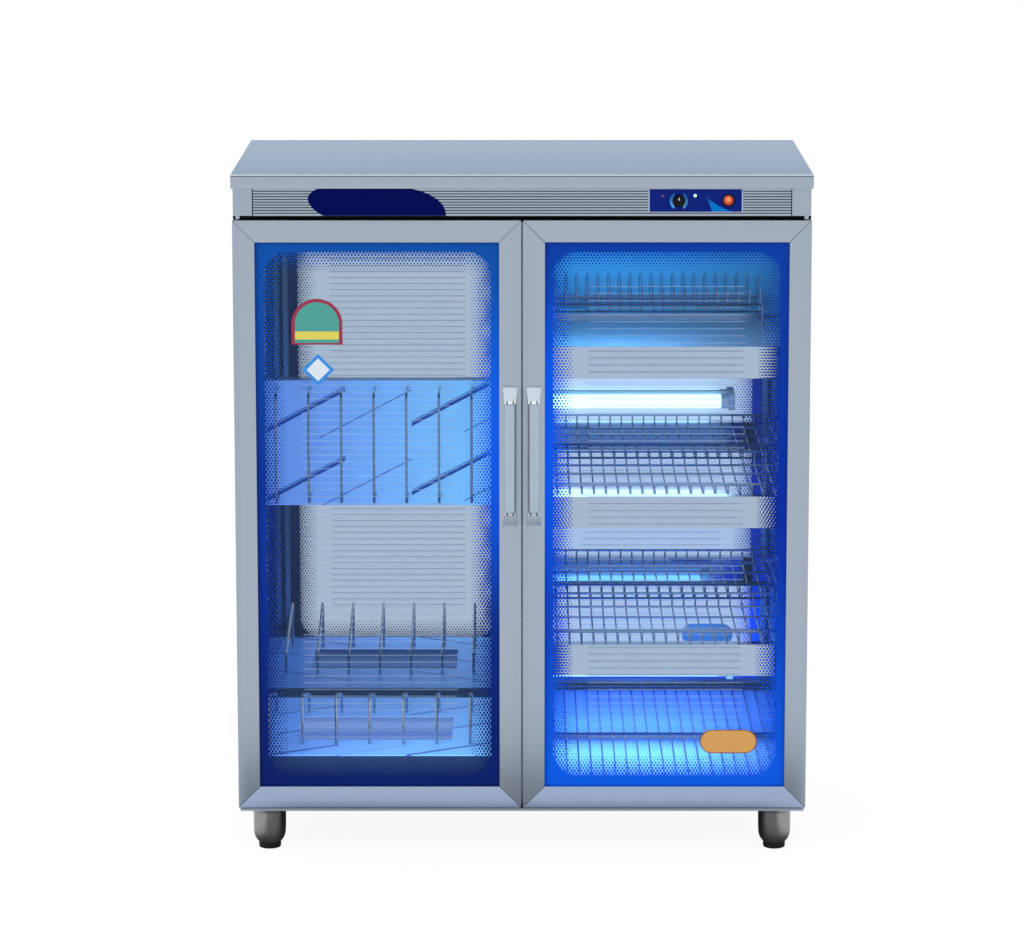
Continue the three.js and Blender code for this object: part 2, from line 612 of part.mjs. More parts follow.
// A mitred member of the door frame. Its section runs in from the door's outer edge (u) and back from its face (v).
function frameMember(length) {
  const grooveFloor = RAIL_WIDTH - GLASS_GRIP;
  const grooveBack = GLASS_SETBACK + GLASS_THICKNESS + SEAT;
  const section = new THREE.Shape(
    [
      [0, 0],
      [RAIL_WIDTH, 0],
      [RAIL_WIDTH, GLASS_SETBACK - SEAT],
      [grooveFloor, GLASS_SETBACK - SEAT],
      [grooveFloor, grooveBack],
      [RAIL_BACK_WIDTH, grooveBack],
      [RAIL_BACK_WIDTH, DOOR_THICKNESS],
      [0, DOOR_THICKNESS],
    ].map(([u, v]) => new THREE.Vector2(u, v)),
  );
  const [low, wide, deep] = [RAIL_WALL, grooveFloor - RAIL_WALL, DOOR_THICKNESS - RAIL_WALL];
  section.holes.push(
    new THREE.Path([[low, low], [low, deep], [wide, deep], [wide, low]].map(([u, v]) => new THREE.Vector2(u, v))),
  );
  const member = new THREE.ExtrudeGeometry(section, { depth: length, bevelEnabled: false });
  const place = member.attributes.position;
  for (let i = 0; i < place.count; i++) {
    const inward = place.getX(i) + MITRE_GAP;
    place.setZ(i, place.getZ(i) < length / 2 ? inward : length - inward);
  }
  return member;
}

// Turns a frame member (u, v, length) to a place in the door: rows give x, y and z from them.
function placed(member, rows) {
  return solid(member.applyMatrix4(new THREE.Matrix4().set(...rows, 0, 0, 0, 1)));
}

// The right door's pieces. The left door has the same ones mirrored.
function doorPieces() {
  const stile = () => frameMember(DOOR_HEIGHT);
  const rail = () => frameMember(doorWidth);
  const pinHole = bar("z", PIN_RADIUS + RUN, doorBottom - OVERRUN, doorTop + OVERRUN, pivotX, pivotY, SMALL_SIDES);
  const hingeStile = placed(stile(), [-1, 0, 0, doorOuter, 0, 1, 0, doorFront, 0, 0, -1, doorTop]);
  const latchStile = placed(stile(), [1, 0, 0, doorInner, 0, 1, 0, doorFront, 0, 0, 1, doorBottom]);
  const topRail = placed(rail(), [0, 0, 1, doorInner, 0, 1, 0, doorFront, -1, 0, 0, doorTop]);
  const bottomRail = placed(rail(), [0, 0, -1, doorOuter, 0, 1, 0, doorFront, 1, 0, 0, doorBottom]);
  const glassEdge = RAIL_WIDTH - GLASS_GRIP + SEAT;
  const ringAt = (inset, y0, y1) =>
    block(doorInner + inset, doorOuter - inset, y0, y1, doorBottom + inset, doorTop - inset);
  const gasketFront = doorBack + SEAT;
  const gasketInner = ringAt(GASKET_INSET + GASKET_WIDTH, gasketFront - OVERRUN, gasketBack + OVERRUN);
  return {
    hinge_stile: [hingeStile, "steel"],
    latch_stile: [latchStile, "steel"],
    top_rail: [cut(topRail, [pinHole]), "steel"],
    bottom_rail: [cut(bottomRail, [pinHole]), "steel"],
    glass: [ringAt(glassEdge, glassFront, glassBack), "glass"],
    gasket: [cut(ringAt(GASKET_INSET, gasketFront, gasketBack), [gasketInner]), "gasket"],
    handle_bracket: [handleBracket(), "chrome"],
    handle_grip: [handleGrip(), "grip"],
  };
}

const handleX = doorInner + RAIL_WIDTH / 2;
const handleBack = doorFront - SEAT;
const handleFront = handleBack - HANDLE_CAP_DEPTH;
const handleTop = handleBottom + HANDLE_LENGTH;

// End cap of a handle, running up or down from end: wide and shallow there, narrow and deep where it holds the grip.
function handleCap(end, up) {
  const cap = new THREE.BoxGeometry(1, 1, 1).translate(0, -1 / 2, up / 2);
  const place = cap.attributes.position;
  for (let i = 0; i < place.count; i++) {
    const along = Math.abs(place.getZ(i));
    const wide = THREE.MathUtils.lerp(HANDLE_CAP_WIDTH, HANDLE_CAP_NECK, along);
    const deep = THREE.MathUtils.lerp(HANDLE_CAP_TOE, HANDLE_CAP_DEPTH, along);
    place.setX(i, handleX + place.getX(i) * wide);
    place.setY(i, handleBack + place.getY(i) * deep);
    place.setZ(i, end + place.getZ(i) * HANDLE_CAP_LENGTH);
  }
  return solid(cap);
}

// Handle bracket: two flared end caps joined by a strip that lies on the door.
function handleBracket() {
  const strip = block(
    handleX - HANDLE_STRIP_WIDTH / 2,
    handleX + HANDLE_STRIP_WIDTH / 2,
    handleBack - HANDLE_STRIP_THICKNESS,
    handleBack,
    handleBottom + HANDLE_CAP_LENGTH / 2,
    handleTop - HANDLE_CAP_LENGTH / 2,
  );
  return join([handleCap(handleBottom, 1), handleCap(handleTop, -1), strip]);
}

// Handle grip: a flat bar with eased corners, held between the end caps.
function handleGrip() {
  const front = handleFront + GRIP_SETBACK;
  const half = GRIP_WIDTH / 2;
  const outline = new THREE.Shape(
    [
      [-half, front + GRIP_CORNER],
      [-half + GRIP_CORNER, front],
      [half - GRIP_CORNER, front],
      [half, front + GRIP_CORNER],
      [half, front + GRIP_THICKNESS],
      [-half, front + GRIP_THICKNESS],
    ].map(([x, y]) => new THREE.Vector2(x, y)),
  );
  const [low, high] = [handleBottom + HANDLE_CAP_LENGTH + SEAT, handleTop - HANDLE_CAP_LENGTH - SEAT];
  const grip = new THREE.ExtrudeGeometry(outline, { depth: high - low, bevelEnabled: false });
  return solid(grip.translate(handleX, 0, low));
}

// A polished compartment liner: back, sides, floor and ceiling, with a flange round its open front.
function liner(x0, x1, back) {
  const t = LINER_SHEET;
  const [low, high] = [compartmentFloor, compartmentCeiling];
  const shell = block(x0 - t, x1 + t, linerFront, back + t, low - t, high + t);
  const reach = t + LINER_FLANGE;
  const flange = block(x0 - reach, x1 + reach, linerFront, linerFront + t, low - reach, high + reach);
  return cut(join([shell, flange]), [block(x0, x1, linerFront - OVERRUN, back, low, high)]);
}

const basketFloor = (shieldTop) => shieldTop - BASKET_BELOW_SHIELD_TOP;
const shieldTops = [upperShelfTop - LEVEL_PITCH, upperShelfTop - 2 * LEVEL_PITCH];
const basketFront = shieldFront + SHIELD_TOP_FLANGE + BASKET_FRONT_GAP;
const basketBack = rightBack - BASKET_BACK_GAP;
const [basketLeft, basketRight] = [PARTITION_HALF + BASKET_SIDE_GAP, compartmentSide - BASKET_SIDE_GAP];

// Right liner with a ledge on each side wall for each wire basket and for the upper shelf.
function rightLiner() {
  const ledges = [...shieldTops.map(basketFloor), upperShelfTop - SHELF_LIP - LINER_SHEET].flatMap((level) => {
    const high = level - SEAT;
    return [PARTITION_HALF - WELD, compartmentSide - LEDGE_WIDTH].map((x) =>
      block(x, x + LEDGE_WIDTH + WELD, basketFront, rightBack + WELD, high - LEDGE_THICKNESS, high),
    );
  });
  return join([liner(PARTITION_HALF, compartmentSide, rightBack), ...ledges]);
}

const [spanLeft, spanRight] = [PARTITION_HALF + SEAT, compartmentSide - SEAT];

// Upper shelf: a plate with a deep front panel that hides the lamps below.
function upperShelf() {
  const top = upperShelfTop - SHELF_LIP;
  return join([
    block(spanLeft, spanRight, shieldFront, rightBack - SEAT, top - LINER_SHEET, top),
    block(spanLeft, spanRight, shieldFront, shieldFront + LINER_SHEET, upperShelfTop - SHIELD_HEIGHT, upperShelfTop),
  ]);
}

// Lamp shield: a front panel across the compartment with a flange at its top and bottom.
function lampShield(top) {
  const t = LINER_SHEET;
  const low = top - SHIELD_HEIGHT;
  return join([
    block(spanLeft, spanRight, shieldFront, shieldFront + t, low, top),
    block(spanLeft, spanRight, shieldFront, shieldFront + SHIELD_TOP_FLANGE, top - t, top),
    block(spanLeft, spanRight, shieldFront, shieldFront + SHIELD_BOTTOM_FLANGE, low, low + t),
  ]);
}

const weldedWire = (BASKET_FRAME_WIRE + BASKET_WIRE) * WIRE_CROSSING_SHARE; // between the axes of a wire and its rod
const fenceFront = basketFront + BASKET_FRAME_WIRE;
const fenceBack = basketBack - BASKET_FRAME_WIRE;

// The x positions of a basket's wires, which all lie inside its side rods.
function basketWires() {
  const inset = BASKET_FRAME_WIRE + SEAT + BASKET_WIRE;
  const pitch = (basketRight - basketLeft - 2 * inset) / (BASKET_WIRES - 1);
  return times(BASKET_WIRES, (i) => basketLeft + inset + i * pitch);
}

// Basket fence: a lower and an upper loop of rod with upright wires between them along the front and back.
function basketFence(shieldTop) {
  const low = basketFloor(shieldTop) + BASKET_FRAME_WIRE;
  const high = basketFloor(shieldTop) + BASKET_FENCE;
  const uprights = basketWires().flatMap((x) =>
    [fenceFront, fenceBack].map((y) => bar("z", BASKET_WIRE, low, high, x, y, WIRE_SIDES)),
  );
  const loops = [low, high].map((z) => loopZ(basketLeft, basketRight, fenceFront, fenceBack, z, BASKET_FRAME_WIRE));
  const corners = [basketLeft, basketRight].flatMap((x) =>
    [fenceFront, fenceBack].map((y) => bar("z", BASKET_FRAME_WIRE, low, high, x, y, WIRE_SIDES)),
  );
  return join([...uprights, ...loops, ...corners]);
}

// Basket floor: straight wires inside the lower loop, welded under two cross rods that lie on its sides.
function basketMat(shieldTop) {
  const crossZ = basketFloor(shieldTop) + 3 * BASKET_FRAME_WIRE + SEAT;
  const wireZ = crossZ - weldedWire;
  const clear = BASKET_FRAME_WIRE + SEAT;
  const wires = basketWires().map((x) =>
    bentRod([point(x, fenceFront + clear, wireZ), point(x, fenceBack - clear, wireZ)], BASKET_WIRE, alongX),
  );
  const third = (fenceBack - fenceFront) / 3;
  const crosses = [fenceFront + third, fenceBack - third].map((y) =>
    rodX(basketLeft, basketRight, y, crossZ, BASKET_FRAME_WIRE),
  );
  return join([...wires, ...crosses]);
}

// Floor rack: level wires on two cross wires that stand on the floor on four short feet.
function floorRack() {
  const crossZ = compartmentFloor + SEAT + RACK_FOOT;
  const wireZ = crossZ + weldedWire;
  const [front, back] = [shieldFront, rightBack - BASKET_SIDE_GAP];
  const pitch = (basketRight - basketLeft) / (BASKET_WIRES - 1);
  const wires = times(BASKET_WIRES, (i) => {
    const x = basketLeft + i * pitch;
    return bentRod([point(x, front, wireZ), point(x, back, wireZ)], BASKET_WIRE, alongX);
  });
  const inset = 2 * BASKET_FRAME_WIRE;
  const rows = [front + inset, back - inset];
  const crosses = rows.map((y) => rodX(basketLeft, basketRight, y, crossZ, BASKET_FRAME_WIRE));
  const feet = rows.flatMap((y) =>
    [basketLeft + inset, basketRight - inset].map((x) =>
      bar("z", BASKET_FRAME_WIRE, compartmentFloor + SEAT, crossZ, x, y, ROD_SIDES),
    ),
  );
  return join([...wires, ...crosses, ...feet]);
}

const cupShelf = upperShelfTop - SHELF_LIP + SEAT;
const cupFront = shieldFront + CUP_RACK_FRONT_GAP;
const cupBack = cupFront + CUP_RACK_DEPTH;
const cupRail = cupShelf + CUP_RACK_LEG;
const cupRails = [cupRail, cupRail - CUP_RAIL_DROP];
const [cupLeft, cupRight] = [PARTITION_HALF + CUP_RACK_SIDE_GAP, compartmentSide - CUP_RACK_SIDE_GAP];
const cupX = times(CUP_PRONGS, (i) => cupLeft + (i * (cupRight - cupLeft)) / (CUP_PRONGS - 1));

// Cup rack: two loops of rod on four legs, with a row of short pegs along the front.
function cupRack() {
  const rim = BASKET_FRAME_WIRE;
  const pegs = cupX.map((x) =>
    bentRod([point(x, cupFront, cupRails[1]), point(x, cupFront, cupRail + CUP_PEG_HEIGHT)], BASKET_WIRE, alongX),
  );
  const clear = BASKET_WIRE + SEAT + rim;
  const [x0, x1] = [cupLeft - clear, cupRight + clear];
  const [y0, y1] = [cupFront - weldedWire, cupBack + CUP_PRONG_SPREAD / 2 + clear];
  const loops = cupRails.map((z) => loopZ(x0, x1, y0, y1, z, rim));
  const legs = [x0, x1].flatMap((x) => [y0, y1].map((y) => bar("z", rim, cupShelf, cupRail, x, y, ROD_SIDES)));
  return join([...pegs, ...loops, ...legs]);
}

// Prong bar of the cup rack: tall narrow loops of wire on two rods, set just in front of the rack's rear rods.
function cupProngs() {
  const half = CUP_PRONG_SPREAD / 2;
  const [low, tip] = [cupRails[1], cupRail + CUP_PRONG_HEIGHT];
  const prongs = cupX.map((x) =>
    bentRod(
      [
        point(x, cupBack - half, low),
        point(x, cupBack - half, tip - half),
        point(x, cupBack, tip),
        point(x, cupBack + half, tip - half),
        point(x, cupBack + half, low),
      ],
      BASKET_WIRE,
      alongX,
    ),
  );
  const [x0, x1] = [cupLeft - BASKET_WIRE, cupRight + BASKET_WIRE];
  const rods = cupRails.map((z) => rodX(x0, x1, cupBack - half - weldedWire, z, BASKET_FRAME_WIRE));
  return join([...prongs, ...rods]);
}

const knifeFront = leftBack - SEAT - KNIFE_PLATE_FLANGE;
const knifeTop = knifeBottom + KNIFE_PLATE_HEIGHT;
const knifeWireTop = knifeTop - KNIFE_WIRE_BELOW_TOP;
const knifeWireBottom = knifeBottom + KNIFE_WIRE_ABOVE_BOTTOM;
const [firstHoop, lastHoop] = [PARTITION_HALF + RACK_PARTITION_GAP, compartmentSide - RACK_SIDE_GAP];
const hoopX = times(RACK_HOOPS, (i) => -firstHoop - (i * (lastHoop - firstHoop)) / (RACK_HOOPS - 1));

// Knife plate: an upright plate on the left compartment's back, flanged at top and bottom, with holes for the wires.
function knifePlate() {
  const t = LINER_SHEET;
  const [x0, x1] = [-compartmentSide + SEAT, -PARTITION_HALF - SEAT];
  const back = knifeFront + KNIFE_PLATE_FLANGE;
  const holes = hoopX.flatMap((x) =>
    [knifeWireTop, knifeWireBottom].map((z) =>
      bar("y", RACK_WIRE + RUN, knifeFront - OVERRUN, knifeFront + t + OVERRUN, x, z, ROD_SIDES),
    ),
  );
  return cut(
    join([
      block(x0, x1, knifeFront, knifeFront + t, knifeBottom, knifeTop),
      block(x0, x1, knifeFront, back, knifeTop - t, knifeTop),
      block(x0, x1, knifeFront, back, knifeBottom, knifeBottom + t),
    ]),
    holes,
  );
}

// Knife rack: rods that reach out from the plate, down and back, joined by two rods behind it.
function knifeRack() {
  const spine = knifeFront + LINER_SHEET + SEAT + RACK_WIRE;
  const reach = knifeFront - KNIFE_WIRE_REACH;
  const [top, bottom] = [knifeWireTop, knifeWireBottom];
  const rods = hoopX.map((x) => {
    const path = [point(x, spine, top), point(x, reach, top), point(x, reach, bottom), point(x, spine, bottom)];
    const points = [path[0], ...bend(...path.slice(0, 3)), ...bend(...path.slice(1, 4)), path[3]];
    return bentRod(points, RACK_WIRE, alongX, ROD_SIDES);
  });
  const [x0, x1] = [hoopX[RACK_HOOPS - 1] - 2 * RACK_WIRE, hoopX[0] + 2 * RACK_WIRE];
  return join([...rods, ...[top, bottom].map((z) => rodX(x0, x1, spine, z, RACK_WIRE))]);
}

const trayFront = glassBack + TRAY_BEHIND_GLASS;
const trayBack = leftBack - TRAY_BACK_GAP;
const [hoopFront, hoopBack] = [trayFront + HOOP_FRONT, trayFront + HOOP_FRONT + HOOP_DEPTH];

// Board tray: a raised plate with skirts that stand on the floor, a large hole, and holes for the hoops.
function boardTray() {
  const t = LINER_SHEET;
  const [x0, x1] = [-compartmentSide + SEAT, -PARTITION_HALF - SEAT];
  const low = compartmentFloor + SEAT;
  const outer = block(x0, x1, trayFront, trayBack, low, trayTop);
  const inner = block(x0 + t, x1 - t, trayFront + t, trayBack - t, low - OVERRUN, trayTop - t);
  const holeFront = trayFront + TRAY_HOLE_FRONT;
  const hole = block(TRAY_HOLE_SIDE_GAP - compartmentSide, -PARTITION_HALF - TRAY_HOLE_PARTITION_GAP, holeFront, holeFront + TRAY_HOLE_DEPTH, trayTop - OVERRUN, trayTop + OVERRUN);
  const wireHoles = hoopX.flatMap((x) =>
    [hoopFront, hoopBack].map((y) => bar("z", RACK_WIRE + RUN, trayTop - OVERRUN, trayTop + OVERRUN, x, y, ROD_SIDES)),
  );
  return cut(outer, [inner, hole, ...wireHoles]);
}

// Board rack: hoops that are high at the front and low at the rear, joined by two rods under the tray.
function boardRack() {
  const spine = trayTop - LINER_SHEET - SEAT - RACK_WIRE;
  const hoops = hoopX.map((x) => {
    const path = [
      point(x, hoopFront, spine),
      point(x, hoopFront, trayTop + HOOP_FRONT_HEIGHT),
      point(x, hoopBack, trayTop + HOOP_REAR_HEIGHT),
      point(x, hoopBack, spine),
    ];
    const points = [path[0], ...bend(...path.slice(0, 3)), ...bend(...path.slice(1, 4)), path[3]];
    return bentRod(points, RACK_WIRE, alongX, ROD_SIDES);
  });
  const [x0, x1] = [hoopX[RACK_HOOPS - 1] - 2 * RACK_WIRE, hoopX[0] + 2 * RACK_WIRE];
  return join([...hoops, ...[hoopFront, hoopBack].map((y) => rodX(x0, x1, y, spine, RACK_WIRE))]);
}

// A tube lamp about the Z axis, its middle at the origin, with a metal cap at each end.
function lampTube() {
  const half = LAMP_LENGTH / 2;
  const neck = half - LAMP_CAP_LENGTH;
  const profile = [[0, -half], [lampCapRadius, -half], [lampCapRadius, -neck], [LAMP_RADIUS, -neck]];
  return turned([...profile, ...profile.map(([r, z]) => [r, -z]).reverse()], LAMP_SIDES);
}

// The lamp's fixture about the Z axis: a channel behind the tube (towards +Y) with a holder at each end.
function lampFixture() {
  const half = LAMP_LENGTH / 2 + SEAT;
  const reach = half + HOLDER_LENGTH;
  const wide = FIXTURE_WIDTH / 2;
  const channelFront = lampCapRadius + HOLDER_RISE - FIXTURE_DEPTH;
  const channelBack = channelFront + FIXTURE_DEPTH;
  const pieces = [block(-wide, wide, channelFront, channelBack, -reach, reach)];
  [-1, 1].forEach((end) => {
    const [low, high] = end < 0 ? [-reach, -half] : [half, reach];
    pieces.push(block(-wide, wide, -lampCapRadius, channelFront + WELD, low, high));
  });
  return join(pieces);
}

// Puts a lamp piece across the right compartment on its back wall, or upright on the left one's partition wall.
function lampPlace(made, x, z, upright) {
  const wall = lampCapRadius + HOLDER_RISE + SEAT;
  const geometry = geometryOf(made);
  if (upright) {
    geometry.rotateZ(-Math.PI / 2);
    geometry.translate(-PARTITION_HALF - wall, glassBack + LEFT_LAMP_BEHIND_GLASS, z);
  } else {
    geometry.rotateY(Math.PI / 2);
    geometry.translate(x, rightBack - wall, z);
  }
  return solid(geometry);
}

// Leg: a bullet-shaped steel cup with a bore for the foot's stem.
function leg() {
  const top = LEG_HEIGHT - SEAT;
  const low = FOOT_HEIGHT + SEAT;
  const taper = (top - LEG_COLLAR - low) / 2;
  const shares = [[1, 1], [0.97, 0.6], [0.9, 0.28]]; // radius and height along the rounded lower end
  const side = shares.map(([r, h]) => [legBodyRadius * r, low + taper * h]).reverse();
  const bore = low + FOOT_STEM_LENGTH + SEAT;
  return turned([
    [0, bore],
    [FOOT_STEM_RADIUS + RUN, bore],
    [FOOT_STEM_RADIUS + RUN, low],
    [LEG_NECK_RADIUS, low],
    ...side,
    [legBodyRadius, top - LEG_COLLAR],
    [LEG_RADIUS, top - LEG_COLLAR],
    [LEG_RADIUS, top],
    [0, top],
  ]);
}

// Levelling foot: a rubber-faced disc on a stem that screws into the leg.
function foot() {
  return turned([
    [0, 0],
    [FOOT_RADIUS - FOOT_CHAMFER, 0],
    [FOOT_RADIUS, FOOT_CHAMFER],
    [FOOT_RADIUS, FOOT_HEIGHT],
    [FOOT_STEM_RADIUS, FOOT_HEIGHT],
    [FOOT_STEM_RADIUS, FOOT_HEIGHT + FOOT_STEM_LENGTH],
    [0, FOOT_HEIGHT + FOOT_STEM_LENGTH],
  ]);
}

const moved = (made, x, y, z) => solid(geometryOf(made).translate(x, y, z));

// Cable gland: a flange on the rear cover with a bored boss through it.
function cordGland() {
  const face = backPanelFront + SHEET + SEAT;
  const out = face + GLAND_FLANGE_THICKNESS;
  return cut(
    join([
      bar("y", GLAND_FLANGE_RADIUS, face, out, glandX, glandZ),
      bar("y", GLAND_RADIUS, backPanelFront - OVERRUN, out + GLAND_REACH, glandX, glandZ),
    ]),
    [bar("y", GLAND_CABLE_RADIUS, backPanelFront - 2 * OVERRUN, out + GLAND_REACH + OVERRUN, glandX, glandZ, SMALL_SIDES)],
  );
}

add("worktop", worktop(), "steel");
add("side_panel_right", sidePanel(), "steel");
add("side_panel_left", sidePanel(), "steel", true);
add("back_panel", backPanel(), "steel");
add("base_pan", basePan(), "steel");
add("front_frame", frontFrame(), "steel");
add("control_fascia", controlFascia(), "steel");
add("control_plate", controlPlate(), "plate");
add("timer_unit", timerUnit(), "white");
add("timer_knob", timerKnob(), "black");
add("switch_housing", switchHousing(), "black");
add("rocker_button", rockerButton(), "red");
add("indicator_board", indicatorBoard(), "green");
add("left_liner", liner(-compartmentSide, -PARTITION_HALF, leftBack), "mirror");
add("right_liner", rightLiner(), "mirror");
add("upper_shelf", upperShelf(), "mirror");
add("lamp_shield_upper", lampShield(shieldTops[0]), "mirror");
add("lamp_shield_lower", lampShield(shieldTops[1]), "mirror");
add("wire_basket_fence_upper", basketFence(shieldTops[0]), "wire");
add("wire_basket_mat_upper", basketMat(shieldTops[0]), "wire");
add("wire_basket_fence_lower", basketFence(shieldTops[1]), "wire");
add("wire_basket_mat_lower", basketMat(shieldTops[1]), "wire");
add("floor_rack", floorRack(), "wire");
add("cup_rack", cupRack(), "wire");
add("cup_prongs", cupProngs(), "wire");
add("knife_plate", knifePlate(), "film");
add("knife_rack", knifeRack(), "wire");
add("board_tray", boardTray(), "film");
add("board_rack", boardRack(), "wire");
add("uv_lamp_right_upper", lampPlace(lampTube(), rightLampX, upperShelfTop - UPPER_LAMP_BELOW_SHELF, false), "lamp");
add("uv_lamp_right_lower", lampPlace(lampTube(), rightLampX, compartmentFloor + LOWER_LAMP_ABOVE_FLOOR, false), "lamp");
add("uv_lamp_left", lampPlace(lampTube(), 0, compartmentFloor + LEFT_LAMP_ABOVE_FLOOR, true), "lamp");
add("lamp_fixture_right_upper", lampPlace(lampFixture(), rightLampX, upperShelfTop - UPPER_LAMP_BELOW_SHELF, false), "white");
add("lamp_fixture_right_lower", lampPlace(lampFixture(), rightLampX, compartmentFloor + LOWER_LAMP_ABOVE_FLOOR, false), "white");
add("lamp_fixture_left", lampPlace(lampFixture(), 0, compartmentFloor + LEFT_LAMP_ABOVE_FLOOR, true), "white");
add("cord_gland", cordGland(), "black");

[false, true].forEach((left) => {
  const side = left ? "left" : "right";
  Object.entries(doorPieces()).forEach(([name, [made, finish]]) => add(`${side}_door_${name}`, made, finish, left));
  [["front", -legY], ["rear", legY]].forEach(([end, y]) => {
    add(`leg_${end}_${side}`, moved(leg(), legX, y, 0), "leg", left);
    add(`foot_${end}_${side}`, moved(foot(), legX, y, 0), "rubber", left);
  });
});

// The origin is under the middle of the whole object, from the handles' fronts to the gland's end or the worktop's rear.
const rearmost = Math.max(WORKTOP_DEPTH / 2, backPanelFront + SHEET + SEAT + GLAND_FLANGE_THICKNESS + GLAND_REACH);
cabinet.position.y = -(handleFront + rearmost) / 2;

export default cabinet;
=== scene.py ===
# Looks of a free-standing ultraviolet sterilising cabinet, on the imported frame. Metres, +Z up, front to -Y.
import json
import math
from functools import partialmethod

import bmesh
import bpy
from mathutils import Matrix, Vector


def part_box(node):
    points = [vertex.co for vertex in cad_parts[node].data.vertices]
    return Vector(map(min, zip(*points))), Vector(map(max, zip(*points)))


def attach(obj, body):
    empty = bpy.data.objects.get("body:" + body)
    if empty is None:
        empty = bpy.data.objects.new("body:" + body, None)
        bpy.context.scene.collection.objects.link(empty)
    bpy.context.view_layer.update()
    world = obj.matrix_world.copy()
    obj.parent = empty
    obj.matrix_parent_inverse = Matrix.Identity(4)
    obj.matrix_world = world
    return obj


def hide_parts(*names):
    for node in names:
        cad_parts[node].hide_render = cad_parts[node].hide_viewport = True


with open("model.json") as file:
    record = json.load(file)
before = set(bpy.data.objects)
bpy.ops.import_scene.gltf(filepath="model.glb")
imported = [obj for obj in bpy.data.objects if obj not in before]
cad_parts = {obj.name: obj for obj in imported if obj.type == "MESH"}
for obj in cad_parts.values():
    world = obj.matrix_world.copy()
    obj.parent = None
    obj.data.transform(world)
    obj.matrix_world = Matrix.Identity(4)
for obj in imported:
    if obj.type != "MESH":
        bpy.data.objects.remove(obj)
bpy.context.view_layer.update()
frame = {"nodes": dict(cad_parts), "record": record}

MM = 0.001

# Camera, fitted to the photograph
CAMERA_PLACE = (0, -7.187, 2.02)
CAMERA_PITCH = math.radians(9.46)
CAMERA_LENS = 142.9
CAMERA_SENSOR = 36
CAMERA_SHIFT = (-0.0098, -0.098)

# Studio: the floor looks white from the camera, and gloss sees it dimmer near the cabinet.
# Each pair is the two places in X or Y between which that fades.
WHITE_LIGHT = (1.0, 1.0, 1.0)
STUDIO_COLOUR = (0.80, 0.86, 0.92)
FLOOR_SIZE = 60
FLOOR_COLOUR = (0.75, 0.75, 0.75)
FLOOR_SHADE = (0.10, 0.10, 0.10)
FLOOR_GLOW = 0.93
GLOSS_UNDER = 0.02
GLOSS_AHEAD = 0.28
BESIDE_CABINET = (0.46, 0.58)
BEFORE_CABINET = (-0.50, -0.66)
BEHIND_CABINET = (0.25, 0.32)
UNDER_FRONT = (-0.20, -0.34)

# Lights: size in metres, power in watts and colour
KEY_PLACE = (-2.4, -3.0, 2.4)
KEY_AIM = (0, 0, 0.6)
KEY_LIGHT = ((1.6, 2.0), 40, WHITE_LIGHT)
LEFT_FILL = ((0.40, 0.95), 3.3, (0.75, 0.86, 1.0))
RIGHT_FILL = ((0.40, 0.95), 1.3, (0.30, 0.65, 1.0))
TOP_FILL = ((0.24, 0.16), 1.9, (0.10, 0.50, 1.0))
FLOOR_FILL = ((0.42, 0.30), 1.2, (0.45, 0.80, 1.0))
UPPER_TUBE_LIGHT = ((0.34, 0.03), 3.0, (0.25, 0.75, 1.0))
LOWER_TUBE_LIGHT = ((0.34, 0.03), 1.8, (0.25, 0.75, 1.0))

# Light that surfaces give off. Each reach is where it has faded out and where it is full
TUBE_GLOW = 2.1
TUBE_CAP = 13 * MM
HALO = (0.45, 0.82, 1.0)
HALO_GLOW = 0.33
HALO_REACH = (62 * MM, 8 * MM)
THROWN_GLOW_HEIGHT = 0.567  # bright line on the back wall, over the middle panel
THROWN_GLOW_REACH = (10 * MM, 5 * MM)
FLANGE_GLOW = 1.1
LEFT_FLOOR_LIGHT = (0.30, 0.50, 0.90)
LEFT_FLOOR_GLOW = 0.16
TRAY_TOP_LIGHT = (0.10, 0.32, 1.0)
TRAY_TOP_GLOW = 0.24
TRAY_INSIDE_LIGHT = (0.40, 0.62, 1.0)
TRAY_INSIDE_GLOW = 0.30
INK_LIGHT = (0.0, 0.10, 0.75)
INK_GLOW = 0.7
INK_GLOW_REACH = (0.36, 0.05)

# Colours, linear
STEEL = (0.385, 0.445, 0.53)
# Painted light: a bluer copy of the steel, for the doors' bottom rails
STEEL_BLUE_LIT = (0.35, 0.435, 0.61)
WORKTOP_TINT = (0.62, 0.74, 0.86)
# Along the worktop's front edge: a painted highlight, and a dark line under it
WORKTOP_HIGHLIGHT = (0.75, 0.80, 0.86)
WORKTOP_DARK_LINE = (0.08, 0.10, 0.13)
# Painted shade on the fascia's groove floors, also used for the dark joints at its ends
GROOVE_SHADE_AND_JOINT = (0.010, 0.013, 0.03)
# Painted shade in the gap under the header and inside the frame
GAP_SHADE = (0.004, 0.004, 0.006)
MIRROR = (0.41, 0.50, 0.61)
MIRROR_LIT = (0.40, 0.53, 0.76)
SHELF = (0.58, 0.60, 0.66)
LIT_BLUE = (0.08, 0.34, 0.50)
LIT_FLOOR = (0.16, 0.245, 0.66)
LEFT_FLOOR = (0.42, 0.52, 0.68)
# The film, painted lighter from left to right
FILM_LEFT = (0.17, 0.36, 0.88)
FILM_RIGHT_LIT = (0.23, 0.62, 1.0)
FILM_INK = (0.0, 0.035, 0.30)
# Painted shade: the tray's level top and its front skirt
TRAY_FILM_SHADE = (0.02, 0.22, 0.85)
TRAY_SKIRT_SHADE = (0.008, 0.022, 0.07)
TRAY_INSIDE = (0.30, 0.42, 0.62)
CHROME = (0.74, 0.78, 0.82)
